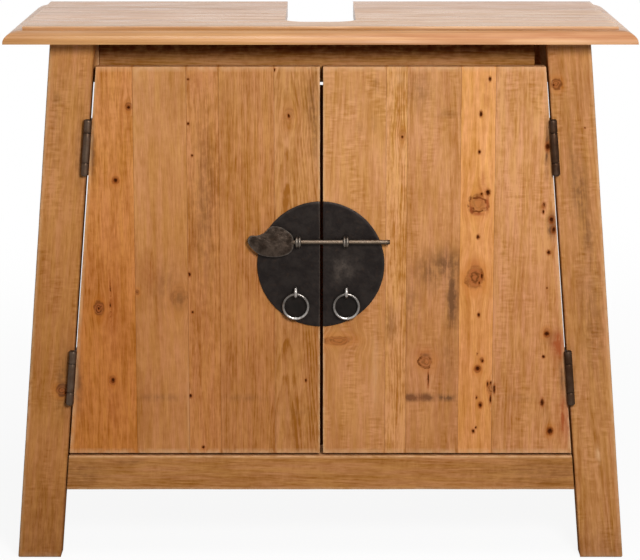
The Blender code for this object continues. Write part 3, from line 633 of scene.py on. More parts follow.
# Marks are pixels across and down in the photograph, then millimetres. A knot has its radius, stretch,
# fill and rim, a hole its radius and stretch, and a stain its half width, half height and strength
FRONT_MARKS = {
    "knots": (
        (556, 84, 5.5, 1.1, 0.75, 0.8),
        (62, 390, 6.5, 1.0, 1.0, 1.0),
    ),
    "holes": ((553.5, 85, 1.0, 1.0), (585, 128, 0.8, 1.0), (65.5, 393, 1.4, 1.0), (66, 401, 0.4, 16.0)),
    "stains_and_shade": (
        (580, 192, 10, 40, 0.65, GREY),
        (573, 165, 5, 40, 0.45, GREY),
        (588, 235, 7, 40, 0.55, GREY),
        (592, 310, 16, 80, 0.35, GREY),
        (57, 99, 5, 7, 0.35, GREY),
        (56, 130, 5, 50, 0.15, GREY),
        # Painted shade on the leg beside the upper left hinge
        (80, 150, 4.5, 36, 0.45, GREY),
        # Painted shade on the leg beside the lower left hinge
        (63, 380, 6, 34, 0.75, GREY),
        (66, 402, 6, 6, 0.6, GREY),
        # Painted shade on the leg beside the lower right hinge
        (574, 377, 2.5, 30, 0.35, GREY),
        (598, 455, 2, 7, 0.7, PALE),
    ),
}
LEG_ARRIS = 0.002
INNER_SHARE = 0.25
# The front legs darken towards the foot, the left more than the right
FRONT_FOOT_DARKENING = {"left": 0.12, "right": 0.05}
LEG_FIBRE = 0.8
LEG_RIPPLE = 1.5
INNER_EXTRA = {"left": 0.0003, "right": 0.0}
# Colour, ring width, pith, slope, ring contrast, and the painted shade of the lower part
LEG_LOOKS = {
    "left": ((0.466, 0.205, 0.066), 0.0042, (0.028, 0.045), 0.02, 0.35, (0.80, 0.74, 0.64, 1.0)),
    "right": ((0.418, 0.186, 0.064), 0.0036, (0.020, 0.030), 0.03, 0.4, (0.99, 0.98, 0.95, 1.0)),
}


def marks_on(marks, y, outline, place):
    """The marks whose middles are on a board, from photograph pixels to the board's own face."""
    to_face = place.inverted()
    low_left, low_right, high_right, high_left = outline
    found = {}
    for kind, rows in marks.items():
        found[kind] = []
        for px, py, size, extent, *rest in rows:
            u, _, v = to_face @ behind(px, py, y)
            along = (v - low_left[1]) / (high_left[1] - low_left[1])
            left = low_left[0] + (high_left[0] - low_left[0]) * along
            right = low_right[0] + (high_right[0] - low_right[0]) * along
            if left < u < right:
                extent = extent * MM if kind == "stains_and_shade" else extent
                found[kind].append((u, v, size * MM, extent, *rest))
    return found


for side_name, side in SIDES:
    low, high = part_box(f"front_{side_name}_leg")
    height = high.z - low.z
    width = high.x - low.x - SPLAY * height
    start = low.x if side < 0 else high.x - width
    place = frame_of((start, low.y, low.z), X, Vector((-side * SPLAY, 0, 1)), Y)
    extra = INNER_EXTRA[side_name]
    left, right = (0.0, width + extra) if side < 0 else (-extra, width)
    outline = ((left, 0), (right, 0), (right, height), (left, height))
    color, ring, pith, slope, figure, low_shade = LEG_LOOKS[side_name]
    board(
        f"{side_name}_front_leg_board",
        "carcass",
        [f"front_{side_name}_leg"],
        pine(f"{side_name}_leg_pine", color, ring, pith, slope, figure, LEG_FIBRE, LEG_RIPPLE, low=low_shade),
        outline,
        high.y - low.y,
        place,
        seed=11 + side,
        arris=LEG_ARRIS,
        marks=marks_on(FRONT_MARKS, low.y, outline, place),
        foot=FRONT_FOOT_DARKENING[side_name],
        joints=(1.0, INNER_SHARE)[::-side],
    )


# Rear legs and side panels
# The rear legs are turned edge on. Each side between the legs is closed by two upright planks,
# glued edge to edge and set back a little from the legs' outer faces.
def scattered(seed, width, height, count):
    """Knots strewn over a board that the photograph doesn't show."""
    draw = random.Random(seed)
    rows = []
    for _ in range(count):
        u, v = draw.uniform(0.15, 0.85) * width, draw.uniform(0.05, 0.95) * height
        radius, stretch = draw.uniform(0.0025, 0.007), draw.uniform(1.1, 1.6)
        rows.append((u, v, radius, stretch, draw.uniform(0.4, 1.0), draw.uniform(0.4, 1.0)))
    return {"knots": rows}


def side_frame(side, outer_low, y, z):
    """Places a board that leans with the legs on one side, with its face outwards."""
    return frame_of((outer_low, y, z), side * Y, Vector((-side * SPLAY, 0, 1)), -side * X)


PANEL_PLANKS = 2
PANEL_ARRIS = 0.0006
REAR_SOIL = 0.12
rear_pine = pine("rear_leg_pine", (0.42, 0.178, 0.056), 0.004, (0.02, 0.06), 0.02, 0.45, 0.9, 0.4)
panel_pines = [
    pine("panel_pine_pale", (0.47, 0.205, 0.072), 0.0045, (0.045, 0.03), 0.05, 0.5, 0.9, 0.3),
    pine("panel_pine_dark", (0.41, 0.172, 0.056), 0.0038, (-0.03, 0.06), 0.03, 0.4, 0.9, 0.5),
]
for side_name, side in SIDES:
    low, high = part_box(f"rear_{side_name}_leg")
    height = high.z - low.z
    outer = low.x if side < 0 else high.x
    width = high.y - low.y
    thickness = high.x - low.x - SPLAY * height
    place = side_frame(side, outer, low.y if side > 0 else high.y, low.z)
    board(
        f"{side_name}_rear_leg_board",
        "carcass",
        [f"rear_{side_name}_leg"],
        rear_pine,
        oblong(width, height),
        thickness,
        place,
        seed=23 + side,
        arris=LEG_ARRIS,
        marks=scattered(21 + side, width, height, 3),
        foot=REAR_SOIL,
    )

    low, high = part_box(f"{side_name}_side_panel")
    height = high.z - low.z
    outer = low.x if side < 0 else high.x
    thickness = high.x - low.x - SPLAY * height
    width = (high.y - low.y) / PANEL_PLANKS
    for index in range(PANEL_PLANKS):
        start = low.y + width * index if side > 0 else high.y - width * index
        board(
            f"{side_name}_side_plank_{index + 1}",
            "carcass",
            [f"{side_name}_side_panel"],
            panel_pines[index],
            oblong(width, height),
            thickness,
            side_frame(side, outer, start, low.z),
            seed=35 + side * 3 + index,
            arris=PANEL_ARRIS,
            marks=scattered(31 + side * 3 + index, width, height, 4),
        )


# Rails and bottom board
# The front rails tie the legs together above and below the doors. Battens along the sides carry
# the top and the bottom board, and deeper rails close the top and bottom of the back. All are glued.
def rail(name, node, facing, material, slanted, seed, knot_count):
    """A rail between the sides, with its ends square or leaning with the legs."""
    low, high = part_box(node)
    lean = SPLAY * (high.z - low.z) if slanted else 0.0
    if facing < 0:
        place = frame_of((0, low.y, 0), -Z, X, Y)
        outline = ((-high.z, low.x + lean), (-low.z, low.x), (-low.z, high.x), (-high.z, high.x - lean))
    else:
        place = frame_of((0, high.y, 0), Z, X, -Y)
        outline = ((low.z, low.x), (high.z, low.x + lean), (high.z, high.x - lean), (low.z, high.x))
    knots = scattered(seed, high.z - low.z, high.x - low.x, knot_count)["knots"]
    marks = {"knots": [(u + outline[0][0], v + low.x, *rest) for u, v, *rest in knots]}
    if facing < 0:
        marks["stains_and_shade"] = marks_on(RAIL_MARKS, low.y, outline, place)["stains_and_shade"]
    thickness = high.y - low.y
    return board(
        name, "carcass", [node], material, outline, thickness, place, seed, marks=marks, butted=True
    )


RAIL_MARKS = {
    "stains_and_shade": (
        (84, 474, 15, 20, 0.32, GREY),
        (130, 462, 3, 14, 0.40, GREY),
        (545, 472, 18, 70, 0.30, GREY),
        (571, 474, 15, 3, 0.5, GREY),
    ),
}
# Painted shadow of the top's overhang on the upper front rail, darkest at its top edge
OVERHANG_SHADE = 0.95
OVERHANG_SHADE_FROM = 0.577
OVERHANG_SHADE_RISE = 0.014
PIPE_HOLLOW_REACH = 0.060
PIPE_HOLLOW_EASE = 0.018
PIPE_HOLLOW_DEPTH = 0.012
PIPE_HOLLOW_FADE = 0.05
PACKING_ARRIS = 0.0008
PACKING_BACK = 0.001
PACKING_FIT = 0.0002
rail_pine = pine("rail_pine", (0.358, 0.153, 0.0465), 0.0038, (-0.06, 0.02), 0.05, 0.35, 1.0, 0.5)
top_rail_pine = pine("top_rail_pine", (0.315, 0.147, 0.047), 0.004, (0.03, 0.02), 0.03, 0.5, 1.1, 0.6)
inner_pine = pine("inner_pine", (0.46, 0.27, 0.130), 0.0045, (0.02, 0.03), 0.03, 0.45, 0.8, 0.8)
top_rail = rail("upper_front_rail_board", "top_front_rail", -1, top_rail_pine, False, 41, 0)
# Painted shadow of the top's overhang: the rail darkens up to its top edge
for vert, worn in zip(top_rail.data.vertices, top_rail.data.attributes["wear_and_painted_light"].data):
    worn.vector.z = OVERHANG_SHADE * min(1.0, max(0.0, (vert.co.z - OVERHANG_SHADE_FROM) / OVERHANG_SHADE_RISE))
rail("lower_front_rail_board", "bottom_front_rail", -1, rail_pine, True, 42, 0)
rail("lower_rear_rail_board", "rear_bottom_rail", 1, inner_pine, True, 43, 4)
rear_rail = rail("upper_rear_rail_board", "rear_top_rail", 1, inner_pine, True, 44, 3)
rear_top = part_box("rear_top_rail")[1].z
for vert in rear_rail.data.vertices:
    inside = min(1.0, max(0.0, (PIPE_HOLLOW_REACH - abs(vert.co.x)) / PIPE_HOLLOW_EASE))
    share = min(1.0, max(0.0, 1 - (rear_top - vert.co.z) / PIPE_HOLLOW_FADE))
    vert.co.z -= PIPE_HOLLOW_DEPTH * inside * inside * (3 - 2 * inside) * share

rail_low, rail_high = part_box("top_front_rail")
place = frame_of((0, rail_low.y + PACKING_BACK, 0), X, Z, Y)
packing_right = rail_low.x - PACKING_FIT
packing_lean = SPLAY * (rail_high.z - rail_low.z)
packing_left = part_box("left_upper_side_rail")[1].x - packing_lean + PACKING_FIT
outline = (
    (packing_left, rail_low.z),
    (packing_right, rail_low.z),
    (packing_right, rail_high.z),
    (packing_left + packing_lean, rail_high.z),
)
depth = rail_high.y - rail_low.y - PACKING_BACK
board("rail_packing", "carcass", [], top_rail_pine, outline, depth, place, 46, PACKING_ARRIS)

for side_name, side in SIDES:
    for level in ("upper", "lower"):
        node = f"{side_name}_{level}_side_rail"
        low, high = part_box(node)
        height = high.z - low.z
        length = high.y - low.y
        thickness = high.x - low.x - SPLAY * height
        inner = high.x - SPLAY * height if side < 0 else low.x + SPLAY * height
        along = Vector((-side * SPLAY, 0, 1))
        place = frame_of((inner, low.y, low.z), side * along, Y, side * X)
        left, right = (0, height) if side > 0 else (-height, 0)
        outline = ((left, 0), (right, 0), (right, length), (left, length))
        name = f"{side_name}_{level}_side_batten"
        board(name, "carcass", [node], inner_pine, outline, thickness, place, 45 + side)

BOTTOM_PLANKS = 2
low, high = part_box("bottom_board")
plank = (high.y - low.y) / BOTTOM_PLANKS
for index in range(BOTTOM_PLANKS):
    place = frame_of((0, low.y + plank * (index + 1), high.z), -Y, X, -Z)
    outline = ((0, low.x), (plank, low.x), (plank, high.x), (0, high.x))
    knots = scattered(51 + index, plank, high.x - low.x, 5)["knots"]
    board(
        f"bottom_plank_{index + 1}",
        "carcass",
        ["bottom_board"],
        inner_pine,
        outline,
        high.z - low.z,
        place,
        seed=53 + index,
        arris=PANEL_ARRIS,
        marks={"knots": [(u, v + low.x, *rest) for u, v, *rest in knots]},
    )


# Top
# Three boards of pine glued edge to edge, with a stepped ovolo worked round the front and both ends.
# A bay with round corners is cut into the back for the waste pipe. It is screwed down on the legs.
MOULDING_WIDTH = 0.020
MOULDING_STEP = 0.0035
MOULDING_FILLET = 0.001
MOULDING_FALL = 0.0003
MOULDING_LIP = 0.0015
TOP_ARRIS = 0.0007
OVOLO_STEPS = 14
BAY_WIDTH = 0.080
BAY_FRONT = -0.088
BAY_CORNER = 0.025
BAY_CORNER_STEPS = 10
TOP_JOINTS = (-0.098, 0.034)
TOP_CELL_ALONG = 0.008
TOP_CELL_ACROSS = 0.004
TOP_WAVE = 0.0006
TOP_RUB_AND_HIGHLIGHT_REACH = 0.003
TOP_POLISH = 0.23
# The red stains on the moulding are partly its redder tone and partly painted shade, strongest along the
# right half where the key lamp falls. They also roughen it.
OVOLO_STAINS_AND_SHADE = (
    (0.155, 0.22, 0.010, 0.20, 0.34, RED),
    (0.160, 0.22, 0.004, 0.20, 0.30, RED),
    (0.153, -0.20, 0.010, 0.20, 0.04, RED),
    (0.112, 0.0, 0.014, 0.40, 0.5, PALE),
)
TOP_GRAIN_LENGTH = 0.12
TOP_GRAIN_WIDTH = 0.45
# Painted shade on the moulding's step, under its arris
STEP_SHADE = 0.22
# Colour, ring width, pith, slope, ring contrast and fibre contrast of each board, from the front
TOP_LOOKS = (
    ((0.420, 0.197, 0.064), 0.0042, (0.10, 0.03), 0.02, 0.50, 1.2),
    ((0.540, 0.280, 0.125), 0.0050, (0.02, 0.05), 0.03, 0.60, 1.6),
    ((0.490, 0.245, 0.105), 0.0045, (-0.04, 0.04), 0.02, 0.60, 1.6),
)

top_low, top_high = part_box("top_board")
top_thickness = top_high.z - top_low.z
ovolo_width = MOULDING_WIDTH - MOULDING_FILLET
ovolo_height = top_thickness - MOULDING_STEP - MOULDING_FALL - MOULDING_LIP
moulding = [(0.0, 0.0)]
for step in range(OVOLO_STEPS + 1):
    turn = math.pi / 2 * step / OVOLO_STEPS
    moulding.append((ovolo_width * (1 - math.cos(turn)), MOULDING_LIP + ovolo_height * math.sin(turn)))
moulding.append((MOULDING_WIDTH, top_thickness - MOULDING_STEP))
for turn in (0.0, math.pi / 4, math.pi / 2):
    easing = TOP_ARRIS * (1 - math.cos(turn)), TOP_ARRIS * (1 - math.sin(turn))
    moulding.append((MOULDING_WIDTH + easing[0], top_thickness - easing[1]))

# The plan goes round the lip, then round the bay. Only the lip's corners step in with the moulding
lip = [(top_high.x, top_high.y), (top_low.x, top_high.y), (top_low.x, top_low.y), (top_high.x, top_low.y)]
bay = [(BAY_WIDTH / 2, top_high.y)]
for side, start in ((1, 0.0), (-1, -math.pi / 2)):
    for step in range(BAY_CORNER_STEPS + 1):
        turn = start - math.pi / 2 * step / BAY_CORNER_STEPS
        x = side * (BAY_WIDTH / 2 - BAY_CORNER) + BAY_CORNER * math.cos(turn)
        bay.append((x, BAY_FRONT + BAY_CORNER + BAY_CORNER * math.sin(turn)))
bay.append((-BAY_WIDTH / 2, top_high.y))


def top_level(bm, inset, z):
    """The plan as a ring of points at one height of the moulding."""
    ring = []
    for x, y in bay + lip[1:] + lip[:1]:
        on_end = (x, y) in lip
        x = math.copysign(abs(x) - inset, x) if on_end else x
        y = y + inset if on_end and y < 0 else y
        ring.append(bm.verts.new((x, y, top_low.z + z)))
    return ring


top_shape = bmesh.new()
below = top_level(top_shape, *moulding[0])
top_shape.faces.new(below)
for inset, z in moulding[1:]:
    above = top_level(top_shape, inset, z)
    for index in range(len(above)):
        after = (index + 1) % len(above)
        top_shape.faces.new((below[index], below[after], above[after], above[index]))
    below = above
top_shape.faces.new(below)
bmesh.ops.recalc_face_normals(top_shape, faces=top_shape.faces)


def cut(bm, place, normal, keep=0):
    """Cuts all of a shape at a plane. Keep 1 clears what is behind it, and closes the cut."""
    geom = bm.verts[:] + bm.edges[:] + bm.faces[:]
    made = bmesh.ops.bisect_plane(bm, geom=geom, plane_co=place, plane_no=normal, clear_inner=keep > 0)
    if keep:
        edges = [item for item in made["geom_cut"] if isinstance(item, bmesh.types.BMEdge)]
        bmesh.ops.holes_fill(bm, edges=edges)


strip_edges = (top_low.y, *TOP_JOINTS, top_high.y)
for index, (color, ring, pith, *growth) in enumerate(TOP_LOOKS):
    front, back = strip_edges[index], strip_edges[index + 1]
    bm = top_shape.copy()
    if index > 0:
        cut(bm, (0, front, 0), (0, 1, 0), 1)
    if index < len(TOP_LOOKS) - 1:
        cut(bm, (0, back, 0), (0, -1, 0), 1)
    for step in range(1, int((top_high.x - top_low.x) / TOP_CELL_ALONG)):
        cut(bm, (top_low.x + step * TOP_CELL_ALONG, 0, 0), (1, 0, 0))
    for step in range(1, int((back - front) / TOP_CELL_ACROSS)):
        cut(bm, (0, front + step * TOP_CELL_ACROSS, 0), (0, 1, 0))
    arris_y = top_low.y + MOULDING_WIDTH
    edge_rub_and_highlight_share = []
    dirt_and_shade = []
    for vert in bm.verts:
        x, y, z = vert.co
        in_step = top_high.z - z > TOP_ARRIS * 1.5 and top_high.z - z < MOULDING_STEP + MOULDING_FALL * 1.5
        # Painted shade on the moulding's step, under its arris
        dirt_and_shade.append(STEP_SHADE if in_step and y < arris_y + TOP_ARRIS else 0.0)
        # The arris is lightened, partly as wear and partly as a painted highlight
        rim = min(abs(y - arris_y), abs(top_high.x - MOULDING_WIDTH - abs(x)))
        near = max(0.0, 1 - max(rim, abs(top_high.z - z)) / TOP_RUB_AND_HIGHLIGHT_REACH)
        edge_rub_and_highlight_share.append(near)
        if index == 0 and z > top_low.z + MOULDING_LIP:
            knock = noise.noise(Vector((x * 26, y * 60, z * 60)))
            knock += 0.5 * noise.noise(Vector((x * 80, y * 80, z * 80)))
            vert.co.z -= TOP_WAVE * max(0.0, knock) * near
    mesh = bpy.data.meshes.new(f"top_strip_{index + 1}")
    bm.to_mesh(mesh)
    bm.free()
    place = frame_of((0, 0, top_high.z), -Y, X, -Z)
    mesh.transform(place.inverted())
    season(mesh, 55 + index, stains_and_shade=OVOLO_STAINS_AND_SHADE, edge=np.array(edge_rub_and_highlight_share), dirt_and_shade=np.array(dirt_and_shade))
    for spot in mesh.attributes["grain"].data:
        spot.vector.x *= TOP_GRAIN_WIDTH
        spot.vector.z *= TOP_GRAIN_LENGTH
    mesh.transform(place)
    pith = ((pith[0] - (front + back) / 2) * TOP_GRAIN_WIDTH, pith[1])
    top_pine = pine(f"top_pine_{index + 1}", color, ring, pith, *growth, polish=TOP_POLISH)
    set_out(f"top_strip_{index + 1}", mesh, top_pine, "carcass", ["top_board"])
top_shape.free()


# Doors
# Each door is five upright planks of mixed old pine, glued edge to edge, with nail holes, knots and
# stains left from their first use. The outer plank is cut to the lean of the leg that it hangs on.
DOOR_MARKS = {
    "knots": (
        (402.5, 136, 4.5, 1.4, 0.30, 0.1),
        (478, 204.8, 9.4, 1.1, 0.5, 1.8),
        (474.8, 278.2, 9.0, 1.35, 0.95, 1.1),
        (426, 361.8, 7.0, 1.05, 0.6, 2.2),
        (338, 340, 14.0, 0.35, 0.6, 0.6),
        (179.7, 299, 9.0, 1.3, 0.3, 0.3),
        (98.7, 308.5, 5.0, 1.7, 1.0, 0.7),
        (115.4, 180.5, 3.8, 1.1, 0.8, 0.6),
        (128.4, 106.5, 3.6, 1.2, 0.7, 0.5),
        (113, 380.4, 3.6, 1.4, 0.9, 0.5),
        (137, 292, 2.5, 1.3, 0.8, 0.4),
        (289, 116, 6.0, 1.6, 0.3, 0.2),
        (547, 334, 4.0, 1.2, 0.7, 0.5),
        (550, 431, 4.2, 1.2, 0.8, 0.5),
        (552, 225, 4.0, 2.0, 0.2, 0.1),
        (477.2, 369.3, 3.8, 1.1, 1.0, 0.7),
        (482, 359.5, 2.4, 1.5, 0.9, 0.6),
        (480.2, 405.2, 2.4, 1.5, 0.9, 0.4),
        (491.5, 388, 4.2, 1.8, 0.7, 1.2),
    ),
    "holes": (
        (402.3, 137, 1.1, 1.3),
        (490, 79, 1.3, 1.7),
        (481, 114, 1.5, 1.9),
        (479.5, 152, 1.3, 1.5),
        (488, 192.5, 2.2, 1.3),
        (481.5, 194, 1.3, 1.1),
        (481.8, 276, 1.1, 2.6),
        (479.2, 283, 0.8, 2.0),
        (478, 237, 1.5, 1.4),
        (543.8, 205.5, 1.7, 1.7),
        (543.4, 212, 1.0, 2.2),
        (551.5, 220, 2.2, 1.4),
        (553.8, 230, 2.0, 1.6),
        (548.8, 252.5, 1.9, 1.2),
        (547.8, 147, 2.4, 1.6),
        (478.7, 315, 1.4, 1.5),
        (476.8, 354, 1.0, 1.2),
        (482.4, 361, 1.2, 1.4),
        (477.6, 368.5, 2.2, 1.1),
        (490.5, 383, 0.8, 2.0),
        (494.2, 389, 1.2, 4.0),
        (490.4, 399, 1.0, 5.0),
        (487.5, 384, 0.9, 3.0),
        (428.2, 379, 0.8, 9.0),
        (476.5, 397.4, 0.9, 1.8),
        (480.2, 405.4, 1.6, 1.5),
        (473.1, 431.2, 1.4, 1.4),
        (475.9, 427.5, 0.9, 1.4),
        (546.7, 334, 2.4, 1.1),
        (543.4, 356.7, 1.5, 1.1),
        (542.1, 402.6, 1.8, 2.2),
        (549.9, 431, 2.8, 1.1),
        (547, 288, 0.8, 1.2),
        (188, 79.3, 1.1, 1.0),
        (188, 123.7, 1.2, 1.2),
        (192, 155.6, 1.2, 1.0),
        (128.4, 107.4, 1.6, 1.1),
        (115.4, 180.5, 2.0, 1.1),
        (288.7, 116, 1.3, 1.6),
        (274.4, 70, 0.9, 1.8),
        (189.5, 274.6, 1.3, 1.7),
        (192.6, 312.3, 1.2, 1.2),
        (113, 380.4, 1.8, 1.4),
        (190.5, 396, 1.7, 1.2),
        (203.4, 447.2, 1.4, 1.1),
        (305.9, 380.4, 1.0, 1.8),
        (98.7, 308.5, 1.0, 1.6),
        (110.5, 301, 0.7, 26.0),
    ),
    "stains_and_shade": (
        (412, 397.3, 10, 3.6, 1.6, GREY),
        (425, 396.7, 10, 3.4, 1.7, GREY),
        (446, 397, 10, 3.4, 1.4, GREY),
        (418, 397, 16, 3.6, 0.25, RED),
        (422, 352, 9, 6, 0.4, RED),
        (425, 355.3, 5, 1.8, 1.2, GREY),
        (487.3, 203, 1.8, 11, 1.0, RED),
        (471, 208, 2, 7, 0.8, RED),
        (478, 214, 8, 1.6, 0.8, RED),
        (481, 200, 5, 8, 0.35, RED),
        (179.7, 299, 9, 13, 0.45, GREY),
        (152, 275, 8, 18, 0.25, RED),
        # The next four are painted shade on the door edges beside the hinges
        (92, 149, 3, 31, 0.9, GREY),
        (77, 380, 5, 32, 0.8, GREY),
        (562.5, 377, 2.5, 30, 0.9, GREY),
        (547, 147, 2, 31, 1.1, GREY),
        (376, 84, 3, 7, 0.35, GREY),
        (374, 124, 2.5, 9, 0.30, GREY),
        (360, 128, 4, 5, 0.22, GREY),
        (315, 120, 4, 55, 0.6, GREY),
        (552.5, 225, 5, 11, 2.4, GREY),
        (452, 298, 7, 36, 1.15, GREY),
        (447, 265, 22, 17, 0.9, GREY),
        (432, 272, 22, 20, 0.60, GREY),
        (408, 298, 14, 28, 0.35, GREY),
        (448, 360, 7, 30, 0.3, GREY),
        (420, 90, 12, 20, 0.35, GREY),
        (448, 113, 11, 3, 0.5, GREY),
        (391, 324, 8, 22, 0.35, GREY),
        (313, 105, 7, 32, 0.5, GREY),
        (160, 398, 24, 3.5, 0.4, GREY),
        (245, 398, 25, 3.5, 0.3, GREY),
        (300, 411, 18, 2.5, 0.3, GREY),
        (165, 285, 18, 22, 0.28, GREY),
        (205, 205, 15, 95, 0.42, GREY),
        (545, 420, 4, 20, 0.2, GREY),
        (521, 397, 22, 2.5, 0.22, GREY),
        (567, 418, 7, 24, 1.7, RED),
        (561, 344, 9, 13, 1.7, RED),
        (553, 338, 8, 8, 0.5, GREY),
        (196, 82, 10, 14, 0.3, RED),
        (486, 92, 4, 18, 0.3, RED),
        (483, 184, 5, 14, 0.6, RED),
        (475, 264, 6, 8, 0.4, RED),
        (112, 300, 11, 75, 0.32, RED),
        (115, 400, 9, 40, 0.30, RED),
        (110, 410, 32, 1.2, 0.6, PALE),
        (400, 78, 5, 6, 0.4, PALE),
        (375, 370, 4, 50, 0.25, PALE),
        (189, 420, 2, 60, 0.25, PALE),
        (136, 72, 2, 8, 0.5, PALE),
    ),
}
# Widths of the planks from the meeting edge outwards, and for each its colour, ring width,
# pith, slope, ring contrast, fibre contrast and saw ripples
DOOR_PLANKS = {
    "left": (
        (0.0515, (0.455, 0.210, 0.070), 0.0032, (-0.012, 0.016), 0.08, 0.65, 1.1, 0.1),
        (0.0620, (0.444, 0.194, 0.062), 0.0028, (0.110, 0.030), 0.01, 0.40, 1.0, 0.0),
        (0.0365, (0.474, 0.203, 0.065), 0.0030, (0.150, 0.020), 0.01, 0.40, 1.2, 0.1),
        (0.0600, (0.489, 0.222, 0.0755), 0.0050, (-0.020, 0.060), 0.02, 0.25, 0.7, 0.2),
        (None, (0.522, 0.214, 0.0620), 0.0036, (0.060, 0.060), 0.01, 0.40, 1.1, 0.4),
    ),
    "right": (
        (0.0710, (0.519, 0.248, 0.090), 0.0050, (0.050, 0.040), 0.03, 0.25, 0.6, 1.5),
        (0.0240, (0.555, 0.271, 0.097), 0.0030, (0.120, 0.020), 0.01, 0.55, 1.4, 0.4),
        (0.0600, (0.498, 0.233, 0.087), 0.0046, (-0.010, 0.070), 0.02, 0.30, 0.8, 1.0),
        (0.0390, (0.645, 0.300, 0.101), 0.0060, (-0.030, 0.050), 0.02, 0.30, 0.7, 0.1),
        (None, (0.526, 0.250, 0.096), 0.0040, (0.080, 0.050), 0.02, 0.30, 0.9, 1.2),
    ),
}
# Painted shade: the doors darken towards the bottom, and the outer left plank also turns more orange there
DOOR_LOW_SHADE = (0.837, 0.755, 0.70, 1.0)
ORANGE_LOW_SHADE = (0.80, 0.68, 0.52, 1.0)
DOOR_SHIFT = 0.0009
DOOR_SPREAD = {"left": (0.0018, 0.0008), "right": (0.0, 0.0)}
MEETING_EXTRA = 0.0005
PLANK_ARRIS = 0.0005
GLUED_SHARE = 0.2

for side_name, side in SIDES:
    low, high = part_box(f"{side_name}_door_panel")
    height = high.z - low.z
    reach_low = max(abs(low.x), abs(high.x))
    reach_high = reach_low - SPLAY * height
    near = min(abs(low.x), abs(high.x)) + side * DOOR_SHIFT
    if side > 0:
        near += MEETING_EXTRA
    reach_low += side * DOOR_SHIFT + DOOR_SPREAD[side_name][0]
    reach_high += side * DOOR_SHIFT + DOOR_SPREAD[side_name][1]
    for index, (plank_width, color, ring, pith, *growth) in enumerate(DOOR_PLANKS[side_name]):
        far_low = near + plank_width if plank_width else reach_low
        far_high = near + plank_width if plank_width else reach_high
        place = frame_of((0, low.y, low.z), X, Z, Y)
        if side > 0:
            outline = ((near, 0), (far_low, 0), (far_high, height), (near, height))
        else:
            outline = ((-far_low, 0), (-near, 0), (-near, height), (-far_high, height))
        name = f"{side_name}_door_plank_{index + 1}"
        middle = side * (near + far_low) / 2
        low_shade = ORANGE_LOW_SHADE if name == "left_door_plank_5" else DOOR_LOW_SHADE
        pith = (middle + pith[0], pith[1])
        joints = [1.0 if index == 0 else GLUED_SHARE, GLUED_SHARE if plank_width else 1.0]
        board(
            name,
            f"{side_name}_door",
            [f"{side_name}_door_panel"],
            pine(f"{name}_pine", color, ring, pith, *growth, low=low_shade),
            outline,
            high.y - low.y,
            place,
            seed=60 + index + 10 * side,
            arris=PLANK_ARRIS,
            marks=marks_on(DOOR_MARKS, low.y, outline, place),
            joints=joints[::side],
        )
        near = far_low


# Door ledges and meeting batten
# Two ledges across the back of each door keep its planks flat, and a batten on the left door
# covers the gap between the doors from behind. They are screwed on from inside.
LEDGE_ARRIS = 0.0015
BATTEN_FACE = 0.002
# Painted shade on the batten's front face, which shows only through the gap between the doors
BATTEN_SHADE = 2.0
batten_pine = pine("batten_pine", (0.43, 0.20, 0.075), 0.004, (0.01, 0.03), 0.02, 0.45, 0.9, 0.3)
for side_name, side in SIDES:
    for level in ("upper", "lower"):
        node = f"{side_name}_door_{level}_ledge"
        low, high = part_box(node)
        lean = SPLAY * (high.z - low.z)
        place = frame_of((0, high.y, 0), Z, X, -Y)
        left = lean if side < 0 else 0.0
        right = lean if side > 0 else 0.0
        outline = ((low.z, low.x), (high.z, low.x + left), (high.z, high.x - right), (low.z, high.x))
        board(
            f"{side_name}_{level}_ledge_board",
            f"{side_name}_door",
            [node],
            inner_pine,
            outline,
            high.y - low.y,
            place,
            seed=81 + side,
            arris=LEDGE_ARRIS,
        )
low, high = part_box("meeting_batten")
batten = board(
    "meeting_batten_board",
    "left_door",
    ["meeting_batten"],
    batten_pine,
    oblong(high.x - low.x, high.z - low.z),
    high.y - low.y,
    frame_of((high.x, high.y, low.z), -X, Z, -Y),
    seed=85,
)
# Painted shade: the batten's front face is darkened to near black, so the gap between the doors looks deep
for vert, worn in zip(batten.data.vertices, batten.data.attributes["wear_and_painted_light"].data):
    if vert.co.y < low.y + BATTEN_FACE:
        worn.vector = (0.0, 0.0, BATTEN_SHADE)


# Butt hinges
# Blackened steel hinges. Each leaf is let in between door and leg with three slotted screws and
# rolled at its front into knuckles: two at the ends on the leg, a long one between on the door.
# Near black for painted shade on the metal, and for the rod's darker tip
SHADE_AND_TIP_BLACK = (0.010, 0.009, 0.008, 1.0)
iron_inputs = {
    "Base": (0.05, 0.04, 0.035, 1.0),
    "Patch": (0.08, 0.06, 0.05, 1.0),
    "Rust": (0.10, 0.05, 0.03, 1.0),
    "Bright": (0.3, 0.27, 0.24, 1.0),
    "Smooth": 0.35,
    "Rough": 0.60,
}
iron_group, given = shader_group("iron", iron_inputs, FINISH_LOOK)
times, plus, minus, mix, ease, cloud, total = tools(iron_group)
spot = add(iron_group, "ShaderNodeTexCoord").outputs["Object"]
rub_and_painted_light = attribute(iron_group, "wear_and_painted_light")
patina = cloud(spot, (95.0, 95.0, 95.0), 4.0, 0.6)
scale_marks = cloud(spot, (420.0, 420.0, 420.0), 3.0, 0.6)
rust_marks = cloud(spot, (180.0, 180.0, 180.0), 5.0, 0.7)
color = mix(ease(patina, 0.36, 0.64), given["Base"], given["Patch"])
color = mix(ease(rust_marks, 0.52, 0.74, 0.0, 0.75), color, given["Rust"])
# Rubbed parts turn bright; on the rod's upper side and on the rings this is a painted highlight
shine = times(rub_and_painted_light["Y"], ease(scale_marks, 0.3, 0.65, 0.45, 1.0))
color = mix(shine, color, given["Bright"])
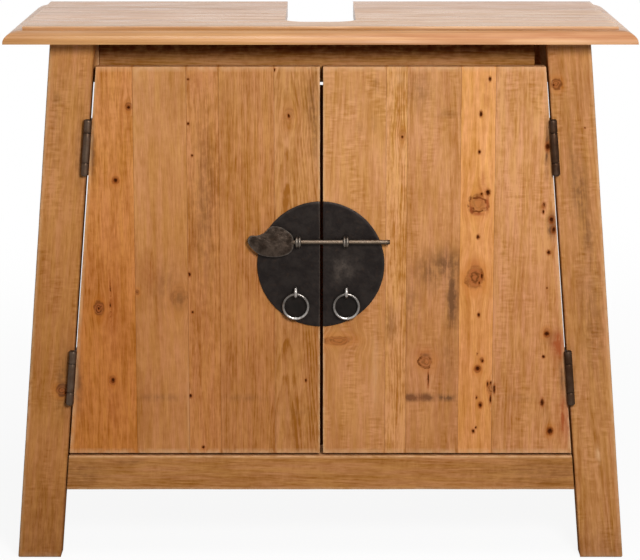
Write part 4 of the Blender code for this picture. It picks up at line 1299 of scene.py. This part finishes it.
# Painted shade: the rings' shadow on the plate and the shade under the rod; the rod's tip is darkened too
color = mix(times(rub_and_painted_light["Z"], 1.0, True), color, SHADE_AND_TIP_BLACK)
gloss = minus(given["Rough"], given["Smooth"])
roughness = plus(given["Smooth"], times(gloss, ease(scale_marks, 0.3, 0.7)))
height = plus(times(patina, 0.8), times(scale_marks, 0.4))
height = plus(height, times(rust_marks, 0.3))
add(iron_group, "NodeGroupOutput", {"Color": color, "Roughness": roughness, "Height": height})


def iron(name, base, patch, rust, bright, smooth=0.35, rough=0.6, bump=0.4, relief=0.0005):
    """Old iron or steel of one base colour, with patches and rust, that turns bright where rubbed and where a
    highlight is painted, and dark where shade is painted.
    """
    values = {
        "Base": (*base, 1.0),
        "Patch": (*patch, 1.0),
        "Rust": (*rust, 1.0),
        "Bright": (*bright, 1.0),
        "Smooth": smooth,
        "Rough": rough,
    }
    return finish(name, iron_group, values, bump, relief, Metallic=1.0)


def turned(bm, profile, steps, axis=(0, 0, 1), closed=False):
    """Turns a profile of points round an axis. A closed profile makes a ring."""
    verts = [bm.verts.new(point) for point in profile]
    edges = [bm.edges.new(pair) for pair in zip(verts, verts[1:])]
    if closed:
        edges.append(bm.edges.new((verts[-1], verts[0])))
    bmesh.ops.spin(
        bm,
        geom=verts + edges,
        cent=(0, 0, 0),
        axis=axis,
        dvec=(0, 0, 0),
        angle=2 * math.pi,
        steps=steps,
        use_merge=True,
    )
    bmesh.ops.remove_doubles(bm, verts=bm.verts[:], dist=1e-7)


def slab(bm, low, high, easing):
    """A plate between two corners with eased edges."""
    made = bmesh.ops.create_cube(bm, size=1)["verts"]
    low, high = Vector(low), Vector(high)
    for vert in made:
        for axis in range(3):
            vert.co[axis] = low[axis] if vert.co[axis] < 0 else high[axis]
    edges = {edge for vert in made for edge in vert.link_edges}
    ease_edges(bm, list(edges), easing, 2)


def metal_mesh(name, bm, place, rub_and_highlight=None, darkening=None):
    """Closes a metal shape into a mesh, with how rubbed and how dark it is at each point, painted highlights
    and shade among them.
    """
    bmesh.ops.recalc_face_normals(bm, faces=bm.faces)
    mesh = bpy.data.meshes.new(name)
    bm.to_mesh(mesh)
    bm.free()
    points = [vert.co.copy() for vert in mesh.vertices]
    values = np.zeros((len(points), 3), np.float32)
    if rub_and_highlight:
        values[:, 1] = [rub_and_highlight(point) for point in points]
    if darkening:
        values[:, 2] = [darkening(point) for point in points]
    layer = mesh.attributes.new("wear_and_painted_light", "FLOAT_VECTOR", "POINT")
    layer.data.foreach_set("vector", values.ravel())
    mesh.transform(place)
    return mesh


HINGE_LENGTH = 0.0625
PIN_OFFSET = 0.0025
TAB_START = 0.0024
HINGE_STANDOFF = 0.0048
LEAF_DEPTH = 0.017
LEAF_NEAR = 0.0002
LEAF_FAR = 0.0012
LEAF_EASING = 0.0003
TAB_EASING = 0.0002
BARREL_RADIUS = 0.0045
PIN_BORE = 0.0025
PIN_RADIUS = 0.0022
PIN_HEAD_RADIUS = 0.0034
PIN_HEAD_HEIGHT = 0.0008
MIDDLE_KNUCKLE = 0.0335
END_KNUCKLE = 0.0140
KNUCKLE_EASING = 0.0005
KNUCKLE_PARTS = 6
BARREL_STEPS = 36
SCREW_RADIUS = 0.0026
SCREW_PROUD = 0.00012
SCREW_SLOT = 0.0004
SCREW_TAPER = 0.8
SCREW_STEPS = 24
SCREW_TURN = 40
SCREW_RISES = (-0.022, 0.0, 0.022)
HINGE_Y = -0.1248
SEAT = 0.0003
HINGE_BRIGHT = (0.16, 0.125, 0.10)
# Base, patches and rust of the hinges on each side: lit and shaded copies of one steel, the left painted
# lighter and warmer and the right darker
HINGE_LIT_AND_SHADED_COLORS = {
    "left": ((0.064, 0.038, 0.024), (0.090, 0.060, 0.042), (0.090, 0.043, 0.020)),
    "right": ((0.036, 0.018, 0.010), (0.056, 0.031, 0.019), (0.058, 0.023, 0.009)),
}


def knuckle(bm, low, high):
    """A tube round the pin, with eased rims."""
    rim = (
        (PIN_BORE, 0.0),
        (BARREL_RADIUS - KNUCKLE_EASING, 0.0),
        (BARREL_RADIUS - KNUCKLE_EASING * 0.3, KNUCKLE_EASING * 0.3),
        (BARREL_RADIUS, KNUCKLE_EASING),
    )
    profile = [(radius, 0, low + rise) for radius, rise in rim]
    for part in range(1, KNUCKLE_PARTS):
        profile.append((BARREL_RADIUS, 0, low + (high - low) * part / KNUCKLE_PARTS))
    profile += [(radius, 0, high - rise) for radius, rise in reversed(rim)]
    turned(bm, profile, BARREL_STEPS, closed=True)


def screw_head(bm, place):
    """A countersunk head, almost flush, with a slot across it."""
    made = bmesh.ops.create_cone(
        bm,
        cap_ends=True,
        segments=SCREW_STEPS,
        radius1=SCREW_RADIUS * SCREW_TAPER,
        radius2=SCREW_RADIUS,
        depth=2 * SCREW_PROUD,
    )["verts"]
    faces = list({face for vert in made for face in vert.link_faces})
    for side in (-1, 1):
        geom = list({item for face in faces for item in (face, *face.edges, *face.verts)})
        slot_edge = (side * SCREW_SLOT, 0, 0)
        cutting = bmesh.ops.bisect_plane(bm, geom=geom, plane_co=slot_edge, plane_no=(1, 0, 0))
        faces = [item for item in cutting["geom"] if isinstance(item, bmesh.types.BMFace)]
    slot = [f for f in faces if f.normal.z > 0.9 and abs(f.calc_center_median().x) < SCREW_SLOT]
    deep = bmesh.ops.extrude_face_region(bm, geom=slot)["geom"]
    sunk = [item for item in deep if isinstance(item, bmesh.types.BMVert)]
    bmesh.ops.translate(bm, verts=sunk, vec=(0, 0, -1.5 * SCREW_PROUD))
    verts = {vert for face in faces if face.is_valid for vert in face.verts} | set(sunk)
    bmesh.ops.transform(bm, verts=list(verts), matrix=place)


def hinge_leaf(gap_middle, side, knuckles):
    """One leaf beside the gap. The pin stands on the origin, and the plate lies back along Y."""
    bm = bmesh.new()
    near, far = sorted((gap_middle + side * LEAF_NEAR, gap_middle + side * LEAF_FAR))
    half = HINGE_LENGTH / 2
    slab(bm, (near, HINGE_STANDOFF + SEAT, -half), (far, HINGE_STANDOFF + LEAF_DEPTH, half), LEAF_EASING)
    for low, high in knuckles:
        slab(bm, (near, TAB_START, low), (far, HINGE_STANDOFF + 2 * SEAT, high), TAB_EASING)
        knuckle(bm, low, high)
    for rise in SCREW_RISES:
        seat = Matrix.Translation((gap_middle + side * LEAF_NEAR, HINGE_STANDOFF + LEAF_DEPTH * 0.55, rise))
        heading = Matrix.Rotation(-side * math.pi / 2, 4, "Y") @ Matrix.Rotation(rise * SCREW_TURN, 4, "Z")
        screw_head(bm, seat @ heading)
    return bm


def hinge_pin():
    """A pin with a low domed head at each end."""
    shoulder = HINGE_LENGTH / 2 + SEAT
    end = shoulder + PIN_HEAD_HEIGHT
    dome = PIN_HEAD_HEIGHT / 2
    upper = (
        (0, 0, end),
        (PIN_HEAD_RADIUS * 0.7, 0, end - dome * 0.3),
        (PIN_HEAD_RADIUS, 0, end - dome),
        (PIN_HEAD_RADIUS, 0, shoulder),
        (PIN_RADIUS, 0, shoulder),
    )
    lower = [(x, y, -z) for x, y, z in reversed(upper)]
    bm = bmesh.new()
    turned(bm, [*upper, *lower], BARREL_STEPS)
    return bm


def barrel_rub(point):
    """The barrel is rubbed at its ends, where hands and doors touch it."""
    ends = abs(point.z) / (HINGE_LENGTH / 2)
    return 0.5 * max(0.0, ends - 0.75) if point.y < 0 else 0.0


lean = math.atan(SPLAY)
half_hinge = HINGE_LENGTH / 2
middle_knuckle = [(-MIDDLE_KNUCKLE / 2, MIDDLE_KNUCKLE / 2)]
end_knuckles = [(-half_hinge, END_KNUCKLE - half_hinge), (half_hinge - END_KNUCKLE, half_hinge)]
for side_name, side in SIDES:
    colors = HINGE_LIT_AND_SHADED_COLORS[side_name]
    hinge_steel = iron(f"{side_name}_hinge_steel", *colors, HINGE_BRIGHT, rough=0.55)
    for level in ("upper", "lower"):
        hinge = f"{level}_{side_name}_hinge"
        low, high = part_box(f"{hinge}_pin")
        middle = (low + high) / 2
        seat = Matrix.Translation((middle.x, HINGE_Y, middle.z)) @ Matrix.Rotation(-side * lean, 4, "Y")
        gap_middle = -side * PIN_OFFSET
        for piece, bm, body, node in (
            ("leg_plate", hinge_leaf(gap_middle, side, end_knuckles), "carcass", "leg_leaf"),
            ("door_plate", hinge_leaf(gap_middle, -side, middle_knuckle), f"{side_name}_door", "door_leaf"),
            ("pin_rod", hinge_pin(), "carcass", "pin"),
        ):
            mesh = metal_mesh(f"{hinge}_{piece}", bm, seat, barrel_rub)
            set_out(f"{hinge}_{piece}", mesh, hinge_steel, body, [f"{hinge}_{node}"])


# Latch plates
# A round plate of thin black iron, cut in two where the doors meet, and pinned flat on their faces.
# It was beaten by hand, so it is slightly dented, and its cut edges are rubbed bright.
PLATE_RADIUS = 0.07225
PLATE_FRONT = -0.1221
PLATE_BACK = -0.1203
PLATE_HEIGHT = 0.3482
PLATE_EASING = 0.0005
PLATE_RINGS = 26
PLATE_STEPS = 120
PLATE_DENT = 0.00022
MEETING_HALF = 0.0015
# Painted shadow of the rings on the plate
RING_SHADOW_ACROSS = 0.0285
RING_SHADOW_DROP = 0.048
RING_SHADOW_SPREAD = 0.012
RING_SHADOW_STRENGTH = 0.75
GAP_RUB_REACH = 0.0008
RIM_RUB_REACH = 0.0012
PLATE_MIDDLE = 0.0005
GAP_FROM_MIDDLE = DOOR_SHIFT - PLATE_MIDDLE
plate_iron = iron(
    "plate_iron",
    base=(0.0145, 0.0115, 0.0106),
    patch=(0.021, 0.0167, 0.0148),
    rust=(0.030, 0.0190, 0.0140),
    bright=(0.140, 0.109, 0.088),
    smooth=0.38,
    rough=0.62,
    bump=0.5,
)


def plate_rub(point):
    """The edge along the gap is bright, and a patch on the right half is worn."""
    gap = max(0.0, 1 - (abs(point.x - GAP_FROM_MIDDLE) - MEETING_HALF) / GAP_RUB_REACH)
    rim = max(0.0, 1 - (PLATE_RADIUS - math.hypot(point.x, point.z)) / RIM_RUB_REACH)
    worn = math.exp(-(((point.x - 0.025) / 0.014) ** 2 + ((point.z + 0.005) / 0.016) ** 2))
    worn *= 0.7 + noise.noise(Vector((point.x * 130, 0, point.z * 130)))
    return min(1.0, max(0.0, 0.5 * gap + 0.10 * rim + 0.30 * worn))


def plate_ring_shadow(point):
    """Painted shadow of the rings, cast on the plate behind them."""
    far = math.hypot(abs(point.x) - RING_SHADOW_ACROSS, point.z + RING_SHADOW_DROP)
    return RING_SHADOW_STRENGTH * math.exp(-((far / RING_SHADOW_SPREAD) ** 2))


for side_name, side in SIDES:
    bm = bmesh.new()
    flat = PLATE_RADIUS - PLATE_EASING
    profile = [(flat * step / PLATE_RINGS, PLATE_FRONT, 0) for step in range(PLATE_RINGS + 1)]
    profile.append((PLATE_RADIUS - PLATE_EASING * 0.3, PLATE_FRONT + PLATE_EASING * 0.3, 0))
    profile.append((PLATE_RADIUS, PLATE_FRONT + PLATE_EASING, 0))
    profile.append((PLATE_RADIUS, PLATE_BACK, 0))
    profile.append((0, PLATE_BACK, 0))
    turned(bm, profile, PLATE_STEPS, (0, 1, 0))
    meeting_edge = GAP_FROM_MIDDLE + side * MEETING_HALF
    if side > 0:
        meeting_edge += MEETING_EXTRA
    cut(bm, (meeting_edge, 0, 0), (side, 0, 0), 1)
    cut(bm, (meeting_edge + side * PLATE_EASING, 0, 0), (side, 0, 0))
    for vert in bm.verts:
        if vert.co.y > PLATE_BACK - PLATE_EASING:
            continue
        if abs(vert.co.x - meeting_edge) < PLATE_EASING / 2:
            vert.co.y += PLATE_EASING * 0.7
        dent = noise.noise(Vector((vert.co.x * 75, side * 3, vert.co.z * 75)))
        dent += 0.6 * noise.noise(Vector((vert.co.x * 210, side * 5, vert.co.z * 210)))
        vert.co.y += PLATE_DENT * max(0.0, dent)
    plate_place = Matrix.Translation((PLATE_MIDDLE, 0, PLATE_HEIGHT))
    name = f"{side_name}_half_plate"
    mesh = metal_mesh(name, bm, plate_place, plate_rub, plate_ring_shadow)
    set_out(name, mesh, plate_iron, f"{side_name}_door", [f"{side_name}_latch_plate"])


# Eyes
# Two eyes of thick wire, wound twice, hold the bolt. Two flatter ones of one turn below them hold the
# rings. Each eye's legs go through plate and door together and are clenched flat behind.
EYE_STEPS = 40
STRAND_STEPS = 14
EYE_TILT = math.radians(3.0)
EYE_SWING = 0.4 * EYE_TILT
EYE_LEAN = 0.5 * EYE_TILT
EYE_RUB = 0.5
STRAND_SHARE = 0.97
SPREAD_SHARE = 0.93
SHANK_RADIUS = 0.0022
SHANK_EASING = 0.0008
SHANK_STEPS = 20
CLENCH_EASING = 0.0005
CLENCH_LENGTH = 0.020
CLENCH_THICKNESS = 0.0016
DOOR_BACK = -0.102
TURN_NIP = 0.00025
BOLT_Y = -0.1292
BOLT_HEIGHT = 0.3751
RING_EYE_Y = -0.1282
RING_EYE_HEIGHT = 0.3159
RING_EYES = {"left": -0.0280, "right": 0.0296}
# Place, inner radius, radius of the wire, and the sides that its turns lie on. One flat turn is side 0
EYES = (
    ("left", "bolt_eye", -0.0252, BOLT_Y, BOLT_HEIGHT, 0.0032, 0.0018, (-1, 1)),
    ("right", "bolt_eye", 0.0288, BOLT_Y, BOLT_HEIGHT, 0.0032, 0.0018, (-1, 1)),
    ("left", "ring_eye", RING_EYES["left"], RING_EYE_Y, RING_EYE_HEIGHT, 0.0032, 0.0013, (0,)),
    ("right", "ring_eye", RING_EYES["right"], RING_EYE_Y, RING_EYE_HEIGHT, 0.0032, 0.0013, (0,)),
)
STRAP_WIDTH = 1.45
STRAP_RISE = 1.35
eye_iron = iron(
    "eye_iron",
    base=(0.058, 0.045, 0.035),
    patch=(0.088, 0.072, 0.058),
    rust=(0.068, 0.040, 0.023),
    bright=(0.21, 0.18, 0.15),
    smooth=0.3,
    rough=0.5,
)
eye_steel = iron(
    "eye_steel",
    base=(0.11, 0.096, 0.085),
    patch=(0.17, 0.152, 0.138),
    rust=(0.09, 0.066, 0.05),
    bright=(0.45, 0.42, 0.39),
    smooth=0.22,
    rough=0.4,
)


def wire_ring(bm, major, minor, steps, minor_steps):
    """A closed ring of round wire about the X axis."""
    profile = []
    for step in range(minor_steps):
        turn = 2 * math.pi * step / minor_steps
        profile.append((minor * math.cos(turn), 0, major + minor * math.sin(turn)))
    before = set(bm.verts)
    turned(bm, profile, steps, (1, 0, 0), True)
    return [vert for vert in bm.verts if vert not in before]


def eye_rub(point):
    """The front half of each turn is rubbed."""
    return EYE_RUB if point.y < 0 else 0.0


for side_name, kind, x, y, z, inner, strand, turns in EYES:
    bm = bmesh.new()
    spread = (strand - TURN_NIP) * SPREAD_SHARE
    for turn_side in turns:
        verts = wire_ring(bm, inner + strand, strand * STRAND_SHARE, EYE_STEPS, STRAND_STEPS)
        if not turn_side:
            bmesh.ops.scale(bm, verts=verts, vec=(STRAP_WIDTH, 1, 1))
            upper = [vert for vert in verts if vert.co.z > 0]
            bmesh.ops.scale(bm, verts=upper, vec=(1, 1, STRAP_RISE))
        tilt = Matrix.Rotation(turn_side * EYE_SWING, 4, "Z") @ Matrix.Rotation(turn_side * EYE_LEAN, 4, "Y")
        beside = Matrix.Translation((turn_side * spread, 0, 0))
        bmesh.ops.transform(bm, verts=verts, matrix=beside @ tilt)
    clench = DOOR_BACK + SEAT - y
    root = inner + strand * 1.3
    shank = (
        (0, root, 0),
        (SHANK_RADIUS * 0.6, root, 0),
        (SHANK_RADIUS, root + SHANK_EASING, 0),
        (SHANK_RADIUS, clench, 0),
        (0, clench, 0),
    )
    turned(bm, shank, SHANK_STEPS, (0, 1, 0))
    slab(
        bm,
        (-SHANK_RADIUS, clench, -CLENCH_LENGTH / 2),
        (SHANK_RADIUS, clench + CLENCH_THICKNESS, CLENCH_LENGTH / 2),
        CLENCH_EASING,
    )
    material = eye_iron if kind == "bolt_eye" else eye_steel
    name = f"{side_name}_{kind}_wire"
    mesh = metal_mesh(name, bm, Matrix.Translation((x, y, z)), eye_rub)
    set_out(name, mesh, material, f"{side_name}_door", [f"{side_name}_{kind}"])


# Bolt
# A round iron rod, forged out flat at its left end to a leaf for the thumb. It slides in its eyes
# across both doors and holds them shut. It is brownish, with a painted highlight along its upper
# side and painted shade under it.
BOLT_RADIUS = 0.0027
BOLT_TIP = 0.0785
BOLT_CHAMFER = 0.0006
BOLT_TIP_RADIUS = 0.0024
TIP_LENGTH = 0.004
TIP_DARKENING = 0.6
THUMB_NECK = -0.03035
THUMB_LENGTH = 0.0518
THUMB_HEIGHT = 0.0357
THUMB_THICKNESS = 0.0036
THUMB_RIM = 0.0016
THUMB_MIDDLE = (0.45, -0.05)
THUMB_DENT = 0.0004
LEAF_RINGS = (1.0, 0.985, 0.95, 0.88, 0.78, 0.66, 0.54, 0.42, 0.30, 0.18, 0.08)
THUMB_LEAF = (
    (0.015, 0.185),
    (0.150, 0.380),
    (0.270, 0.480),
    (0.420, 0.520),
    (0.520, 0.480),
    (0.640, 0.300),
    (0.800, 0.215),
    (0.950, 0.200),
    (1.000, 0.020),
    (0.920, -0.190),
    (0.740, -0.400),
    (0.450, -0.480),
    (0.160, -0.410),
    (0.010, -0.205),
)
LEAF_STEPS = 5
ROD_STEPS = 28
ROD_PARTS = 30
ROD_LAP = 0.0034
# Painted highlight on the rod's upper side and painted shade under it
ROD_TOP_HIGHLIGHT = 0.3
ROD_UNDER_SHADE = 0.9
ROD_DENT = 0.05
rod_iron = iron(
    "rod_iron",
    base=(0.088, 0.063, 0.043),
    patch=(0.110, 0.082, 0.060),
    rust=(0.080, 0.048, 0.028),
    bright=(0.20, 0.155, 0.12),
    smooth=0.32,
    rough=0.5,
)
leaf_iron = iron(
    "leaf_iron",
    base=(0.019, 0.0130, 0.0095),
    patch=(0.052, 0.037, 0.028),
    rust=(0.044, 0.027, 0.018),
    bright=(0.20, 0.175, 0.15),
    rough=0.55,
    bump=1.0,
    relief=0.0008,
)


def smooth_outline(points, steps):
    """A closed Catmull-Rom curve through the points."""
    outline = []
    count = len(points)
    for index in range(count):
        before, start, end, after = (Vector(points[(index + shift) % count]) for shift in (-1, 0, 1, 2))
        for step in range(steps):
            t = step / steps
            bend = (2 * start) + (end - before) * t + (2 * before - 5 * start + 4 * end - after) * t**2
            outline.append((bend + (3 * start - before - 3 * end + after) * t**3) / 2)
    return outline


bm = bmesh.new()
outline = smooth_outline(THUMB_LEAF, LEAF_STEPS)
centre = Vector(THUMB_MIDDLE)
loops = {}
for face_side in (-1, 1):
    for share in LEAF_RINGS:
        loop = []
        for corner in outline:
            along, across = centre + (corner - centre) * share
            rise = THUMB_RIM / 2 + (THUMB_THICKNESS - THUMB_RIM) / 2 * (1 - share**2.2)
            rise -= THUMB_RIM * 0.3 if share == 1.0 else 0.0
            x, z = THUMB_NECK - along * THUMB_LENGTH, across * THUMB_HEIGHT
            dent = noise.noise(Vector((x * 260, face_side * 4, z * 260)))
            rise -= THUMB_DENT * max(0.0, dent + 0.3) * (1 - share**6)
            loop.append(bm.verts.new((x, face_side * rise, z)))
        loops[face_side, share] = loop
    for outer, inner in zip(LEAF_RINGS, LEAF_RINGS[1:]):
        a, b = loops[face_side, outer], loops[face_side, inner]
        for index in range(len(a)):
            after = (index + 1) % len(a)
            bm.faces.new((a[index], a[after], b[after], b[index]))
    bm.faces.new(loops[face_side, LEAF_RINGS[-1]])
a, b = loops[-1, 1.0], loops[1, 1.0]
for index in range(len(a)):
    after = (index + 1) % len(a)
    bm.faces.new((a[index], a[after], b[after], b[index]))


def leaf_rub(point):
    """The leaf's rim is rubbed brighter than its hollows."""
    across = Vector(((THUMB_NECK - point.x) / THUMB_LENGTH, point.z / THUMB_HEIGHT)) - centre
    nearest = min(outline, key=lambda corner: (corner - centre).angle(across) if across.length else 0.0)
    share = across.length / (nearest - centre).length
    return 0.5 * max(0.0, 1 - abs(share - 0.98) / 0.035)


bolt_place = Matrix.Translation((0, BOLT_Y, BOLT_HEIGHT))
mesh = metal_mesh("bolt_leaf", bm, bolt_place, leaf_rub)
set_out("bolt_leaf", mesh, leaf_iron, "bolt", ["latch_bolt"])

bm = bmesh.new()
start = THUMB_NECK - ROD_LAP
rod_end = BOLT_TIP - BOLT_CHAMFER
profile = [(BOLT_TIP, 0, 0), (BOLT_TIP, 0, BOLT_TIP_RADIUS * 0.9), (BOLT_TIP - 0.0002, 0, BOLT_TIP_RADIUS)]
for step in range(ROD_PARTS + 1):
    profile.append((rod_end - (rod_end - THUMB_NECK) * step / ROD_PARTS, 0, BOLT_RADIUS))
profile += [(start + ROD_LAP * 0.5, 0, BOLT_RADIUS * 0.72), (start, 0, BOLT_RADIUS * 0.3), (start, 0, 0)]
turned(bm, profile, ROD_STEPS, (1, 0, 0))
for vert in bm.verts:
    dent = noise.noise(Vector((vert.co.x * 160, vert.co.y * 160, vert.co.z * 160)))
    squeeze = 1 - ROD_DENT * max(0.0, dent)
    vert.co.y *= squeeze
    vert.co.z *= squeeze


def rod_top_highlight(point):
    """Painted highlight along the rod's upper side."""
    return ROD_TOP_HIGHLIGHT * max(0.0, point.z / BOLT_RADIUS)


def rod_shade_and_dark_tip(point):
    """Painted shade on the rod's under side, and the rod darker all round its tip."""
    under = ROD_UNDER_SHADE * max(0.0, -0.1 - point.z / BOLT_RADIUS)
    return max(under, TIP_DARKENING) if point.x > BOLT_TIP - TIP_LENGTH else under


mesh = metal_mesh("bolt_rod", bm, bolt_place, rod_top_highlight, rod_shade_and_dark_tip)
set_out("bolt_rod", mesh, rod_iron, "bolt", ["latch_bolt"])


# Ring pulls
# Two rings of polished steel wire, closed and hung loose in the lower eyes. They are the brightest
# pieces, with painted highlights on their lower half, right side and front, and darker elsewhere.
RING_RADIUS = 0.01405
RING_WIRE = 0.0016
RING_HEIGHT = 0.30055
RING_STEPS = 72
RING_WIRE_STEPS = 18
RING_WIRE_SHARE = 0.99
ring_steel = iron(
    "ring_steel",
    base=(0.070, 0.060, 0.052),
    patch=(0.11, 0.096, 0.085),
    rust=(0.075, 0.050, 0.034),
    bright=(0.62, 0.59, 0.56),
    smooth=0.18,
    rough=0.32,
)


def ring_highlight(point):
    """Painted highlight on the ring's lower half, its right side and its front."""
    low = 0.5 - 0.5 * point.z / (RING_RADIUS + RING_WIRE)
    right = 0.5 + 0.5 * point.x / (RING_RADIUS + RING_WIRE)
    front = max(0.0, -point.y / RING_WIRE)
    return min(1.0, 0.04 + (0.65 * low**3 + 0.12 * right) * (0.35 + 0.65 * front))


for side_name, x in RING_EYES.items():
    bm = bmesh.new()
    verts = wire_ring(bm, RING_RADIUS, RING_WIRE * RING_WIRE_SHARE, RING_STEPS, RING_WIRE_STEPS)
    bmesh.ops.transform(bm, verts=verts, matrix=Matrix.Rotation(math.pi / 2, 4, "Z"))
    name = f"{side_name}_pull_ring"
    mesh = metal_mesh(name, bm, Matrix.Translation((x, RING_EYE_Y, RING_HEIGHT)), ring_highlight)
    set_out(name, mesh, ring_steel, f"{side_name}_ring", [f"{side_name}_ring_pull"])
